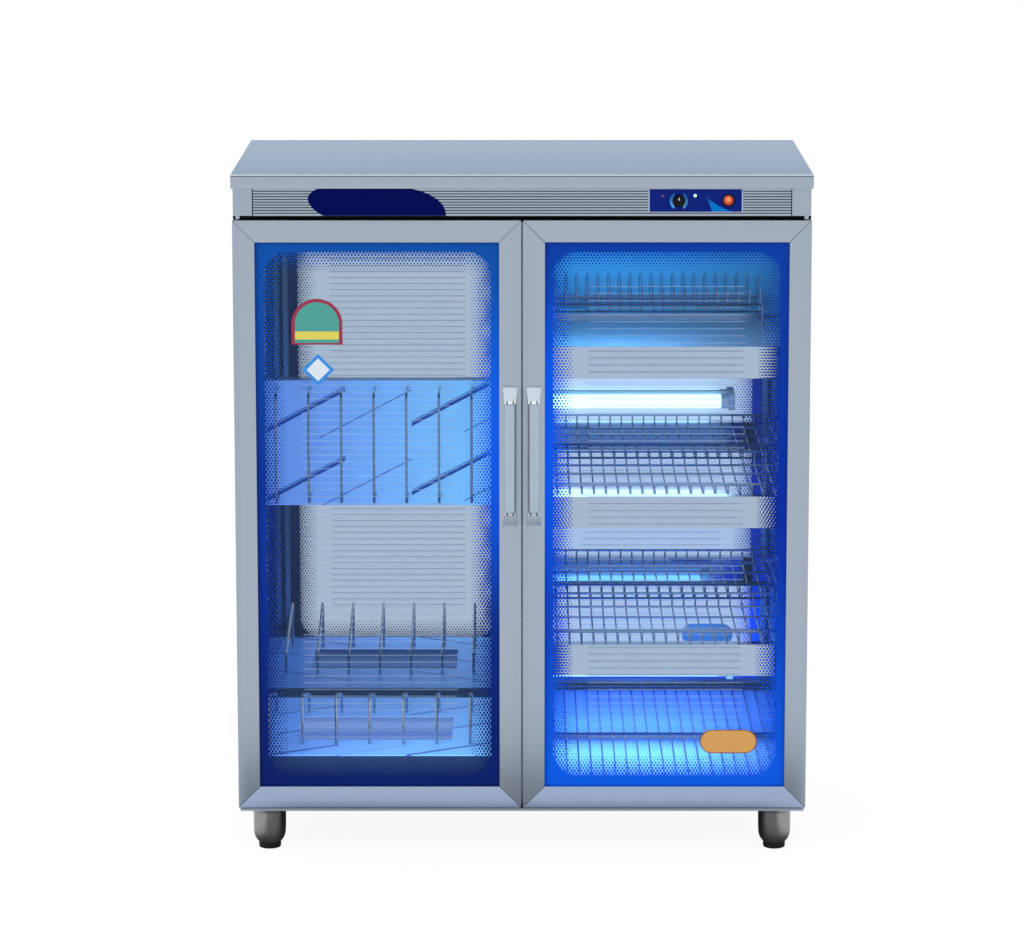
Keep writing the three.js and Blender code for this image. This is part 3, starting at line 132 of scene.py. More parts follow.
# Painted reflection: darker and bluer than chrome, for the dark blue inside that the wires mirror
WIRE_PAINTED_REFLECTION = (0.24, 0.33, 0.49)
ROD_STEEL = (0.42, 0.48, 0.58)
HANDLE_CAP = (0.62, 0.68, 0.74)
HANDLE_COLLAR = (0.85, 0.88, 0.92)
HANDLE_SLIT = (0.01, 0.012, 0.02)
GRIP = (0.42, 0.50, 0.58)
GRIP_EDGE = (0.62, 0.74, 0.84)
GRIP_LINE = (0.10, 0.12, 0.15)
GASKET = (0.02, 0.02, 0.024)
LEG = (0.30, 0.30, 0.295)
RUBBER = (0.005, 0.005, 0.006)
BLACK = (0.006, 0.006, 0.008)
WHITE = (0.8, 0.81, 0.82)
FIXTURE = (0.42, 0.54, 0.68)
TUBE = ((0.5, 0.62, 0.72), (0.62, 0.74, 0.82))
TUBE_LIGHT = ((0.36, 0.80, 1.0), (0.46, 0.88, 1.0))
CLEAR_GLASS = (0.30, 0.50, 0.85)
LINE_INK = (0.33, 0.46, 0.64)
# The border's ink at the pane's top, middle and bottom, with painted light from the lit inside
INK_TOP_LIT = {"left": (0.003, 0.095, 0.42), "right": (0.001, 0.056, 0.40)}
INK_MIDDLE_LIT = {"left": (0.002, 0.034, 0.32), "right": (0.001, 0.030, 0.40)}
INK_BOTTOM_LIT = {"left": (0.001, 0.011, 0.13), "right": (0.002, 0.145, 0.95)}
PLATE = (0.001, 0.012, 0.16)
PLATE_DIM = (0.02, 0.12, 0.42)
PLATE_PALE = (0.10, 0.42, 0.82)
PLATE_EDGE = (0.45, 0.55, 0.68)
WEDGE = (0.0, 0.18, 0.60)
BADGE = (0.001, 0.004, 0.085)
LENS = ((0.28, 0.02, 0.01), (0.36, 0.03, 0.01))
LENS_LIGHT = ((0.30, 0.02, 0.0), (1.0, 0.42, 0.10))
UNLIT_LAMP = ((0.12, 0.02, 0.07), (0.16, 0.03, 0.10))
LIT_LAMP = (0.30, 0.75, 0.35)
LAMP_LIGHT = ((0.45, 1.0, 0.50), (0.60, 1.0, 0.65))
LABEL_BACK = (0.10, 0.22, 0.40)
LABEL_RED = (0.30, 0.01, 0.05)
LABEL_GREEN = (0.05, 0.30, 0.25)
LABEL_YELLOW = (0.75, 0.62, 0.08)
LABEL_WHITE = ((0.70, 0.74, 0.80), (0.78, 0.82, 0.86))
LABEL_BLUE = (0.02, 0.25, 0.70)
LABEL_ORANGE = (0.72, 0.34, 0.08)
LABEL_BROWN = (0.28, 0.10, 0.03)

# Grain of brushed sheet: how fine it is along X, Y and Z
LEVEL_GRAIN = (3, 500, 500)
UPRIGHT_GRAIN = (500, 500, 3)
FASCIA_GRAIN = (2, 900, 900)
FINE_BUMP = 0.2 * MM
SHEET_WAVE = 2 * MM
MIRROR_DRIFT = 9.0

# Dull parts of polished sheet: how metallic they are, and how much rougher than the mirror
LINING_MATT = (0.1, 0.45)
SHELF_MATT = (0.5, 0.3)

# Plain labels on the panes: the arch's left, right, base and top, the others' middle and half sizes
ARCH = (-0.398, -0.310, 0.909, 0.989)
DIAMOND = (-0.3525, 0.865, 0.028)
PILL = (0.362, 0.2035, 0.050, 0.0215)
LABEL_THICKNESS = 0.25 * MM

# Bare nameplate: X and the share of its height, down its left end and up its right one
BADGE_SHAPE = [(-0.3505, 1), (-0.3600, 0.90), (-0.3665, 0.74), (-0.3680, 0.62), (-0.3655, 0.44)]
BADGE_SHAPE += [(-0.3590, 0.26), (-0.3500, 0.10), (-0.3410, 0), (-0.1305, 0), (-0.1315, 0.20)]
BADGE_SHAPE += [(-0.1360, 0.40), (-0.1440, 0.58), (-0.1560, 0.75), (-0.1720, 0.90), (-0.1900, 1)]
BADGE_MARGIN = 0.3 * MM
BADGE_THICKNESS = 1.0 * MM

# Printed glass
RAIL_OVERLAP = 8.7 * MM
PRINT_SIDE_BORDER = 14 * MM
PRINT_END_BORDER = 17 * MM
PRINT_CORNER = 44 * MM
DOT_PITCH = 5.8 * MM
DOT_ROW = 5.0 * MM
DOT_SHARES = (0.41, 0.10)  # radius over pitch, at the border and where the dots end
DOT_REACH = 36 * MM
LINE_PITCH = 12.3 * MM
LINE_WIDTH = 1.3 * MM
LINES_BOTTOM = 0.210
LINES_TOP = 1.012
LINES_LEFT = {"left": -0.382, "right": 0.116}
LINES_LENGTH = 0.269
GLASS_ALPHA = 0.03
LINE_ALPHA = 0.33
INK_ALPHA = 0.97

# Stripes on the protective film
STRIPE_SLOPE = 0.527
TRAY_STRETCH = 0.9  # rise of the pattern over the level tray, per depth
LANE_HEIGHT = 0.1305
LANE_START = 0.785
DASH_PERIOD = 0.2696
DASH_START = -0.475
THICK_DASH = 0.146
THIN_DASH = (0.098, 0.290)
THICK_STRIPE = 6.8 * MM
THIN_STRIPE = 2.0 * MM
STRIPE_GAP = 2.6 * MM

# Whole repeats that keep a pattern's count positive over the whole cabinet
FILM_REPEATS = 20
DOT_REPEATS = 500

# Lines on steel. A pair is how far from its edge or its middle, and half the width
TOP_HIGHLIGHT = 1.4 * MM
TOP_DARK_LINE = (2.3 * MM, 0.8 * MM)
HEADER_GAP = (7 * MM, 7.4 * MM)
HINGE_PLATE = (8 * MM, 3.5 * MM)
COLLAR_BAND = (24 * MM, 3 * MM)
COLLAR_SLITS = (5.4 * MM, 1.1 * MM)
GRIP_LINE_WIDTH = 1.3 * MM
GRIP_EDGE_WIDTH = 2 * MM

# Control plate: arcs round the knob, and a wedge with its edges measured from the plate's left end
ARC_RADIUS = 13.4 * MM
ARC_HALF_WIDTH = 2.3 * MM
ARC_GAP = 7.5 * MM
WEDGE_HEIGHT = 30 * MM
WEDGE_LEFT = 98.2 * MM
WEDGE_RIGHT = 101.7 * MM
WEDGE_LEAN = 11.4 * MM
WEDGE_SPREAD = 42 * MM

# Wires
WIRE = 1.6 * MM
RIM = 2.2 * MM
ROD = 2.5 * MM
WELDED = 2.74 * MM
CLEAR = 0.3 * MM
BASKET_WIRES = 22
BASKET_STAYS = 3
BASKET_CORNER = 6 * MM
CUP_PRONGS = 20
CUP_LEG = 42 * MM
CUP_RAIL_DROP = 13 * MM
CUP_CORNER = 5 * MM
PRONG_WIRE = 1.0 * MM
PRONG_HALF = 2.1 * MM
PRONG_POINT = 13 * MM
HOOPS = 7
HOOP_HEIGHTS = (90 * MM, 36 * MM)
HOOP_CORNER = 14 * MM
KNIFE_ROD_CORNER = 16 * MM
WIRE_SIDES = 8
BEND_STEPS = 4

# Legs and feet: a leg's shape is in shares of its radius and of its height under the collar
LATHE_SIDES = 64
LEG_SHAPE = [(0.68, 0), (0.76, 0.05), (0.85, 0.12), (0.915, 0.22)]
LEG_SHAPE += [(0.945, 0.36), (0.955, 0.55), (0.96, 0.8)]
LEG_GROOVE = 0.945
LEG_NECK = 0.96
COLLAR_DROP = 11 * MM
FOOT_THICKNESS = 11 * MM
FOOT_STEM = 9 * MM

# Eased edges
SHEET_EASE = 0.9 * MM
MEMBER_EASE = 0.7 * MM
BRACKET_EASE = 0.8 * MM
GRIP_EASE = 0.9 * MM
FLAT_ANGLE = math.radians(1)
EDGE_ANGLE = math.radians(30)
SHARP_ANGLE = math.radians(35)

record = frame["record"]
body_of = {node: body for body, nodes in record["behaviour"]["bodies"].items() for node in nodes}
slot_of = {item["node"]: item["material_slot"] for item in record["subparts"]}


def middle_of(node):
    low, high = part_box(node)
    return (low + high) / 2


def tinted(colour, factor):
    return tuple(channel * factor for channel in colour)


def spread(start, end, count):
    return [start + (end - start) * i / (count - 1) for i in range(count)]


class Graph:
    """Short calls for a shader's nodes. Most make a node and give back its output."""

    def __init__(self, tree, material=None):
        self.tree = tree
        self.material = material
        self.shader = tree.nodes.get("Principled BSDF")

    def node(self, kind, **settings):
        made = self.tree.nodes.new(kind)
        for name, value in settings.items():
            setattr(made, name, value)
        return made

    def feed(self, socket, value):
        if isinstance(value, bpy.types.NodeSocket):
            self.tree.links.new(value, socket)
        elif isinstance(value, tuple) and len(value) == 3 and socket.type == "RGBA":
            socket.default_value = (*value, 1)
        else:
            socket.default_value = value

    def give(self, name, value):
        """Feeds one input of the material's shader."""
        self.feed(self.shader.inputs[name], value)

    def paint(self, colour):
        self.give("Base Color", colour)

    def glow(self, colour, strength):
        """Light that the surface gives off."""
        self.give("Emission Color", colour)
        self.give("Emission Strength", strength)

    def fed(self, kind, values, output=0, **settings):
        """An output of a new node. The values are for its inputs, by name or number."""
        made = self.node(kind, **settings)
        for socket, value in values.items():
            self.feed(made.inputs[socket], value)
        return made.outputs[output]

    def math(self, operation, a, b=0.0, c=0.0):
        return self.fed("ShaderNodeMath", {0: a, 1: b, 2: c}, operation=operation)

    # The comparisons give 1 where they hold, and near takes a value, its target and the reach
    plus = partialmethod(math, "ADD")
    minus = partialmethod(math, "SUBTRACT")
    times = partialmethod(math, "MULTIPLY")
    scaled = partialmethod(math, "MULTIPLY_ADD")
    over = partialmethod(math, "GREATER_THAN")
    under = partialmethod(math, "LESS_THAN")
    near = partialmethod(math, "COMPARE")
    most = partialmethod(math, "MAXIMUM")
    least = partialmethod(math, "MINIMUM")
    size = partialmethod(math, "ABSOLUTE")
    fraction = partialmethod(math, "FRACT")

    def rest(self, share):
        """What is left of 1."""
        return self.minus(1.0, share)

    def distance(self, a, b):
        return self.size(self.minus(a, b))

    def length(self, a, b):
        return self.math("SQRT", self.plus(self.times(a, a), self.times(b, b)))

    def repeated(self, value, start, period, repeats):
        """How far a value is from the nearest repeat of the start."""
        turns = self.fraction(self.scaled(value, 1 / period, repeats - start / period + 0.5))
        return self.times(self.minus(turns, 0.5), period)

    def smooth(self, value, low, high):
        """A soft step from 0 at the first place to 1 at the second, whichever is higher."""
        values = {0: value, 1: low, 2: high}
        return self.fed("ShaderNodeMapRange", values, interpolation_type="SMOOTHSTEP")

    def mix(self, share, first, second):
        values = {0: share, 6: first, 7: second}
        return self.fed("ShaderNodeMix", values, 2, data_type="RGBA")

    def place(self):
        split = self.node("ShaderNodeSeparateXYZ")
        self.feed(split.inputs[0], self.node("ShaderNodeTexCoord").outputs["Object"])
        return split.outputs

    def noise(self, scale, stretch=(1, 1, 1), detail=3.0):
        place = self.node("ShaderNodeTexCoord").outputs["Object"]
        place = self.fed("ShaderNodeMapping", {"Vector": place, "Scale": stretch})
        values = {"Vector": place, "Scale": scale, "Detail": detail}
        return self.fed("ShaderNodeTexNoise", values, "Fac")

    def bump(self, height, strength, distance):
        values = {"Height": height, "Strength": strength, "Distance": distance}
        return self.fed("ShaderNodeBump", values)


def new_material(name, metallic=0.0, roughness=0.4, specular=0.5):
    made = bpy.data.materials.new(name)
    made.use_nodes = True
    graph = Graph(made.node_tree, made)
    graph.give("Metallic", metallic)
    graph.give("Roughness", roughness)
    graph.give("Specular IOR Level", specular)
    return graph


def shaded(graph, drift, colour, share):
    """A colour that is darker by the share where the drift is low."""
    return graph.mix(drift, tinted(colour, 1 - share), colour)


def glossed(graph, drift, low, high):
    """A roughness that drifts between two values."""
    graph.give("Roughness", graph.scaled(drift, high - low, low))


def varied(graph, colour, share, roughness, scale, stretch=(1, 1, 1), bump=0.0):
    """Colour and roughness that drift over a surface, with a fine bump. Gives back the colour."""
    drift = graph.noise(scale, stretch)
    shade = shaded(graph, drift, colour, share)
    graph.paint(shade)
    glossed(graph, drift, *roughness)
    if bump:
        graph.give("Normal", graph.bump(drift, bump, FINE_BUMP))
    return shade


def brushing(graph, grain, colour=STEEL):
    return varied(graph, colour, 0.06, (0.26, 0.38), 1.0, grain, bump=0.05)


def brushed(name, grain, colour=STEEL):
    """Sheet steel with the fine lines of its brushing."""
    graph = new_material(name, metallic=1.0)
    brushing(graph, grain, colour)
    return graph.material


def plain(name, colour, metallic=0.0, roughness=(0.25, 0.4), scale=60.0, bump=0.0, specular=0.5):
    graph = new_material(name, metallic, specular=specular)
    varied(graph, colour, 0.1, roughness, scale, bump=bump)
    return graph.material


def sheet_waves(graph):
    """The slight waves of thin polished sheet."""
    graph.give("Normal", graph.bump(graph.noise(2.2, detail=1.0), 0.05, SHEET_WAVE))


def mirror_steel(name):
    """Polished lining: a mirror with the slight waves of thin sheet."""
    graph = new_material(name, metallic=1.0)
    varied(graph, MIRROR, 0.05, (0.012, 0.03), MIRROR_DRIFT)
    sheet_waves(graph)
    return graph


def part_matt(graph, matt, colour, metallic, roughness):
    """Polished sheet that is dull where matt is 1."""
    graph.paint(colour)
    graph.give("Metallic", graph.scaled(matt, metallic - 1.0, 1.0))
    gloss = graph.scaled(graph.noise(MIRROR_DRIFT), 0.02, 0.012)
    graph.give("Roughness", graph.scaled(matt, roughness, gloss))
    sheet_waves(graph)


def lining_floor(graph, z):
    """1 on the floor of a compartment."""
    return graph.under(z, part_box("floor_rack")[0].z + 0.5 * MM)


def left_lining():
    """The left compartment's lining: a mirror with a matt floor."""
    graph = new_material("left_lining", specular=0.1)
    x, y, z = graph.place()
    ground = lining_floor(graph, z)
    part_matt(graph, ground, graph.mix(ground, MIRROR, LEFT_FLOOR), *LINING_MATT)
    graph.glow(LEFT_FLOOR_LIGHT, graph.times(ground, LEFT_FLOOR_GLOW))
    return graph.material


def lamp_light_on_wall(graph, x, z):
    """A halo round the upper lamp and the bright line that the lower one throws, up to the lamps' end."""
    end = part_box("uv_lamp_right_upper")[1].x
    above = graph.distance(z, middle_of("uv_lamp_right_upper").z)
    halo = graph.times(graph.smooth(above, *HALO_REACH), HALO_GLOW)
    thrown = graph.smooth(graph.distance(z, THROWN_GLOW_HEIGHT), *THROWN_GLOW_REACH)
    before_end = graph.smooth(x, end + 15 * MM, end - 50 * MM)
    return graph.times(graph.most(halo, thrown), before_end)


def lit_lining():
    """The right compartment's lining: its floor and the back wall over the shelf are matt and lit blue."""
    graph = new_material("lit_liner", specular=0.1)
    x, y, z = graph.place()
    back = graph.over(y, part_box("right_liner")[1].y - 4 * MM)
    wall = graph.times(back, graph.over(z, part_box("upper_shelf")[1].z))
    ground = lining_floor(graph, z)
    colour = graph.mix(wall, MIRROR_LIT, LIT_BLUE)
    part_matt(graph, graph.most(wall, ground), graph.mix(ground, colour, LIT_FLOOR), *LINING_MATT)
    graph.glow(HALO, graph.times(lamp_light_on_wall(graph, x, z), back))
    return graph.material


def lit_shield():
    """The upper lamp's shield: its top flange catches the lamp's light as a bright band."""
    graph = mirror_steel("lit_shield")
    x, y, z = graph.place()
    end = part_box("uv_lamp_right_upper")[1].x
    flange = graph.over(z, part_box("lamp_shield_upper")[1].z - 0.4 * MM)
    before_end = graph.smooth(x, end, end - 30 * MM)
    graph.glow(HALO, graph.times(graph.times(flange, before_end), FLANGE_GLOW))
    return graph.material


def shelf_steel():
    """The upper shelf: its plate is satin, its front panel polished."""
    graph = new_material("shelf_steel")
    x, y, z = graph.place()
    plate = graph.over(y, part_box("upper_shelf")[0].y + 3 * MM)
    part_matt(graph, plate, graph.mix(plate, MIRROR, SHELF), *SHELF_MATT)
    return graph.material


def stripe_ink(graph, x, y, z):
    """1 on the slanting stripes, thick and thin in turn. They run on over the tray's top."""
    height = graph.scaled(y, TRAY_STRETCH, z)
    height = graph.minus(height, TRAY_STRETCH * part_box("knife_plate")[0].y)
    climb = graph.scaled(x, -STRIPE_SLOPE, height)
    lane = graph.repeated(climb, LANE_START, LANE_HEIGHT, FILM_REPEATS)
    along = graph.scaled(x, 1 / DASH_PERIOD, FILM_REPEATS - DASH_START / DASH_PERIOD)
    along = graph.times(graph.fraction(along), DASH_PERIOD)
    thick = graph.near(lane, 0.0, THICK_STRIPE / 2)
    edge = graph.near(lane, THICK_STRIPE / 2 + STRIPE_GAP, THIN_STRIPE / 2)
    heavy = graph.times(graph.most(thick, edge), graph.under(along, THICK_DASH))
    between = graph.minus(LANE_HEIGHT / 2, graph.size(lane))
    thin = graph.under(between, THIN_STRIPE / 2)
    start, end = THIN_DASH
    light = graph.times(thin, graph.near(along, (start + end) / 2, (end - start) / 2))
    return graph.most(heavy, light)


def film_stripes():
    """Blue protective film with dark stripes, painted lighter towards the right and painted a darker shade on
    the tray's level top, which gives off painted light towards the rear. Under the tray's top it ends: its
    front skirt is painted shade, and bare steel shows inside, with painted light that grows deeper down.
    """
    graph = new_material("protective_film", metallic=0.1, roughness=0.3, specular=0.12)
    x, y, z = graph.place()
    low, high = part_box("knife_plate")
    tray_low, tray_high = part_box("board_tray")
    on_tray = graph.under(z, low.z)
    under_top = graph.under(z, tray_high.z - 1.5 * MM)
    inside = graph.times(under_top, graph.over(y, tray_low.y + 0.6 * MM))
    # Painted light: the film grows lighter towards the right
    film = graph.mix(graph.smooth(x, low.x, high.x), FILM_LEFT, FILM_RIGHT_LIT)
    film = graph.mix(graph.times(graph.noise(6.0), 0.15), film, FILM_INK)
    # Painted shade: the tray's level top is a darker blue
    film = graph.mix(graph.times(on_tray, 0.2), film, TRAY_FILM_SHADE)
    film = graph.mix(stripe_ink(graph, x, y, z), film, FILM_INK)
    # Painted shade on the tray's front skirt; the inside is bare steel
    steel = graph.mix(inside, TRAY_SKIRT_SHADE, TRAY_INSIDE)
    graph.paint(graph.mix(under_top, film, steel))
    deep = graph.times(graph.smooth(z, tray_high.z - 20 * MM, tray_low.z), TRAY_INSIDE_GLOW)
    rear = graph.smooth(y, tray_low.y, middle_of("board_tray").y)
    rear = graph.times(rear, TRAY_TOP_GLOW)
    top = graph.times(on_tray, graph.rest(under_top))
    strength = graph.scaled(top, rear, graph.times(inside, deep))
    graph.glow(graph.mix(inside, TRAY_TOP_LIGHT, TRAY_INSIDE_LIGHT), strength)
    return graph.material


def outside_window(graph, x, z, low, high):
    """How far a point lies outside the pane's clear window, whose corners are round: negative within it."""
    middle, half = (low + high) / 2, (high - low) / 2
    reach_x = half.x - RAIL_OVERLAP - PRINT_SIDE_BORDER - PRINT_CORNER
    reach_z = half.z - RAIL_OVERLAP - PRINT_END_BORDER - PRINT_CORNER
    out_x = graph.minus(graph.distance(x, middle.x), reach_x)
    out_z = graph.minus(graph.distance(z, middle.z), reach_z)
    corner = graph.length(graph.most(out_x, 0.0), graph.most(out_z, 0.0))
    inside = graph.least(graph.most(out_x, out_z), 0.0)
    return graph.minus(graph.plus(corner, inside), PRINT_CORNER)


def dotted_border(graph, x, z, side):
    """1 on the print's border, which breaks up into staggered rows of dots that shrink inwards."""
    edge = outside_window(graph, x, z, *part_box(side + "_door_glass"))
    from_dots = []
    for start_x, start_z in ((DOT_PITCH / 2, DOT_ROW), (0, 0)):
        from_x = graph.repeated(x, start_x, DOT_PITCH, DOT_REPEATS)
        from_z = graph.repeated(z, start_z, 2 * DOT_ROW, DOT_REPEATS)
        from_dots.append(graph.length(from_x, from_z))
    faded = graph.times(edge, -1 / DOT_REACH)
    first, last = (share * DOT_PITCH for share in DOT_SHARES)
    radius = graph.scaled(faded, last - first, first)
    radius = graph.times(radius, graph.under(faded, 1.0))
    dots = graph.under(graph.least(*from_dots), radius)
    return graph.most(dots, graph.over(edge, 0.0))


def print_lines(graph, x, z, side):
    """1 on the fine level lines across the middle of the pane."""
    rows = graph.fraction(graph.math("DIVIDE", graph.minus(z, LINES_BOTTOM), LINE_PITCH))
    lines = graph.under(rows, LINE_WIDTH / LINE_PITCH)
    across = graph.near(x, LINES_LEFT[side] + LINES_LENGTH / 2, LINES_LENGTH / 2)
    upright = graph.near(z, (LINES_BOTTOM + LINES_TOP) / 2, (LINES_TOP - LINES_BOTTOM) / 2)
    return graph.times(lines, graph.times(across, upright))


def border_ink(graph, z, side):
    """The border's blue, painted with the light of the lit inside, which changes from the middle of the pane
    to its top and its bottom.
    """
    low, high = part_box(side + "_door_glass")
    middle = (low.z + high.z) / 2
    # Painted light from the lit inside, different at top, middle and bottom
    ink = graph.mix(graph.smooth(z, middle, high.z), INK_MIDDLE_LIT[side], INK_TOP_LIT[side])
    ink = graph.mix(graph.smooth(z, middle, low.z), ink, INK_BOTTOM_LIT[side])
    return graph.mix(graph.times(graph.noise(3.0), 0.3), ink, INK_MIDDLE_LIT[side])


def printed_glass(side):
    """Clear glass with a blue border that breaks up into dots, and fine level lines. Near the upper lamp the
    border gives off painted lamp light.
    """
    graph = new_material("printed_glass_" + side, roughness=0.04, specular=0.06)
    x, y, z = graph.place()
    border = dotted_border(graph, x, z, side)
    lines = print_lines(graph, x, z, side)
    pane = graph.mix(lines, CLEAR_GLASS, LINE_INK)
    graph.paint(graph.mix(border, pane, border_ink(graph, z, side)))
    clear = graph.scaled(lines, LINE_ALPHA, GLASS_ALPHA)
    graph.give("Alpha", graph.most(clear, graph.times(border, INK_ALPHA)))
    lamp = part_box("uv_lamp_right_upper")[0]
    away = graph.length(graph.minus(x, lamp.x), graph.minus(z, lamp.z))
    near = graph.smooth(away, *INK_GLOW_REACH)
    graph.glow(INK_LIGHT, graph.times(border, graph.times(near, INK_GLOW)))
    return graph.material


def tube(name, glow):
    """A tube lamp of pale glass. When it glows, its two caps stay dark."""
    graph = new_material(name, roughness=0.2)
    x, y, z = graph.place()
    drift = graph.noise(30.0)
    graph.paint(graph.mix(drift, *TUBE))
    if glow:
        low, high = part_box("uv_lamp_right_upper")
        lit = graph.times(graph.over(x, low.x + TUBE_CAP), graph.under(x, high.x - TUBE_CAP))
        graph.glow(graph.mix(drift, *TUBE_LIGHT), graph.times(lit, glow))
    return graph.material


def grooved_fascia():
    """Bright fins with painted shade on the groove floors between them, and dark joints at the two ends."""
    graph = new_material("grooved_fascia", metallic=1.0, roughness=0.3)
    x, y, z = graph.place()
    low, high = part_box("control_fascia")
    fin = shaded(graph, graph.noise(1.0, FASCIA_GRAIN), STEEL, 0.1)
    ends = graph.over(graph.size(x), high.x - 1.3 * MM)
    # Painted shade on the groove floors, and the dark joints at the ends
    groove = graph.most(graph.over(y, low.y + 0.4 * MM), ends)
    graph.paint(graph.mix(groove, fin, GROOVE_SHADE_AND_JOINT))
    return graph.material


def frame_steel():
    """The front frame: steel, with painted shade on the strip that shows between the doors and the header,
    and on the frame deeper in than the linings' front.
    """
    graph = new_material("front_frame_steel", metallic=1.0)
    x, y, z = graph.place()
    drift = graph.noise(1.0, LEVEL_GRAIN)
    strip = graph.near(graph.minus(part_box("control_fascia")[0].z, z), *HEADER_GAP)
    hinge = graph.near(graph.minus(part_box("front_frame")[1].x, graph.size(x)), *HINGE_PLATE)
    strip = graph.times(strip, graph.rest(hinge))
    # Painted shade on the header strip and on the frame deeper in than the linings
    dark = graph.most(strip, graph.over(y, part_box("left_liner")[0].y + 2 * MM))
    graph.paint(graph.mix(dark, shaded(graph, drift, STEEL, 0.08), GAP_SHADE))
    glossed(graph, drift, 0.28, 0.38)
    return graph.material


def worktop_steel():
    """Brushed sheet with a painted highlight along the top of the front edge, and a dark line under it."""
    graph = new_material("worktop_steel", metallic=1.0)
    graph.give("Specular Tint", WORKTOP_TINT)
    steel = brushing(graph, LEVEL_GRAIN)
    x, y, z = graph.place()
    low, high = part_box("worktop")
    front = graph.under(y, low.y + 2 * MM)
    below = graph.minus(high.z, z)
    # Painted highlight along the top of the front edge, and a dark line just under it
    highlight = graph.times(front, graph.under(below, TOP_HIGHLIGHT))
    dark_line = graph.times(front, graph.near(below, *TOP_DARK_LINE))
    steel = graph.mix(highlight, steel, WORKTOP_HIGHLIGHT)
    graph.paint(graph.mix(dark_line, steel, WORKTOP_DARK_LINE))
    return graph.material


def plate_wedge(graph, x, z, low):
    """1 on the control plate's lighter wedge, and its fall: 0 at its tip and 1 at the plate's foot."""
    fall = graph.scaled(z, -1 / WEDGE_HEIGHT, 1 + low.z / WEDGE_HEIGHT)
    fall = graph.most(fall, 0.0)
    left = graph.scaled(fall, WEDGE_LEAN, low.x + WEDGE_LEFT)
    right = graph.scaled(graph.times(fall, fall), WEDGE_SPREAD, low.x + WEDGE_RIGHT)
    wedge = graph.times(graph.over(x, left), graph.under(x, right))
    return graph.times(wedge, graph.over(fall, 0.0)), fall


def control_print():
    """Blue control plate: pale edges, two arcs round the knob and a plain lighter wedge."""
    graph = new_material("control_print", roughness=0.3, specular=0.08)
    x, y, z = graph.place()
    low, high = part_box("control_plate")
    knob = middle_of("timer_knob")
    from_x = graph.minus(x, knob.x)
    from_z = graph.minus(z, knob.z)
    ring = graph.near(graph.length(from_x, from_z), ARC_RADIUS, ARC_HALF_WIDTH)
    arcs = graph.times(ring, graph.over(graph.size(from_x), ARC_GAP))
    pale = graph.mix(graph.smooth(from_z, 10 * MM, -12 * MM), PLATE_DIM, PLATE_PALE)
    left_end = graph.under(x, low.x + 1.8 * MM)
    right_end = graph.over(x, high.x - 1.8 * MM)
    top_end = graph.over(z, high.z - 1.2 * MM)
    ends = graph.most(graph.most(left_end, right_end), top_end)
    wedge, fall = plate_wedge(graph, x, z, low)
    blue = graph.mix(graph.noise(20.0), PLATE, tinted(PLATE, 1.4))
    blue = graph.mix(graph.times(wedge, graph.smooth(fall, 0.0, 0.6)), blue, WEDGE)
    blue = graph.mix(arcs, blue, pale)
    graph.paint(graph.mix(ends, blue, PLATE_EDGE))
    return graph.material


def handle_chrome(side):
    """Pale cast cap with a chrome collar that has dark slits where it holds the grip."""
    graph = new_material("handle_chrome_" + side, metallic=0.5)
    glossed(graph, graph.noise(60.0), 0.14, 0.22)
    x, y, z = graph.place()
    low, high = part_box(side + "_door_handle_bracket")
    from_end = graph.least(graph.minus(high.z, z), graph.minus(z, low.z))
    collar = graph.near(from_end, *COLLAR_BAND)
    slits = graph.near(graph.distance(x, (low.x + high.x) / 2), *COLLAR_SLITS)
    slits = graph.times(collar, slits)
    colour = graph.mix(collar, HANDLE_CAP, HANDLE_COLLAR)
    graph.paint(graph.mix(slits, colour, HANDLE_SLIT))
    return graph.material


def grip_strip(side):
    """Flat pale grip with a lighter edge and a dark line down the side next to the other door."""
    graph = new_material("grip_strip_" + side, metallic=0.6)
    glossed(graph, graph.noise(60.0), 0.28, 0.36)
    x, y, z = graph.place()
    low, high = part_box(side + "_door_handle_grip")
    across = graph.minus(x, low.x) if side == "right" else graph.minus(high.x, x)
    inner = graph.under(across, GRIP_LINE_WIDTH)
    outer = graph.over(across, high.x - low.x - GRIP_EDGE_WIDTH)
    colour = shaded(graph, graph.noise(1.0, UPRIGHT_GRAIN), GRIP, 0.05)
    colour = graph.mix(outer, colour, GRIP_EDGE)
    graph.paint(graph.mix(inner, colour, GRIP_LINE))
    return graph.material


def switch_lens():
    """Red rocker lens that glows orange at its middle."""
    graph = new_material("lit_switch", roughness=0.2)
    x, y, z = graph.place()
    middle = middle_of("rocker_button")
    away = graph.length(graph.minus(x, middle.x), graph.minus(z, middle.z + 1.5 * MM))
    glow = graph.smooth(away, 7 * MM, 0.0)
    graph.paint(graph.mix(graph.noise(300.0), *LENS))
    graph.glow(graph.mix(glow, *LENS_LIGHT), 0.8)
    return graph.material


def indicator_lenses():
    """The left indicator is a dim red, the right one is lit green."""
    graph = new_material("indicator_lenses", roughness=0.2)
    x, y, z = graph.place()
    right = graph.over(x, middle_of("indicator_board").x)
    drift = graph.noise(300.0)
    graph.paint(graph.mix(right, graph.mix(drift, *UNLIT_LAMP), LIT_LAMP))
    graph.glow(graph.mix(drift, *LAMP_LIGHT), graph.times(right, 1.1))
    return graph.material


def label_material(name):
    graph = new_material(name, roughness=0.35)
    x, y, z = graph.place()
    return graph, x, z, graph.noise(60.0)


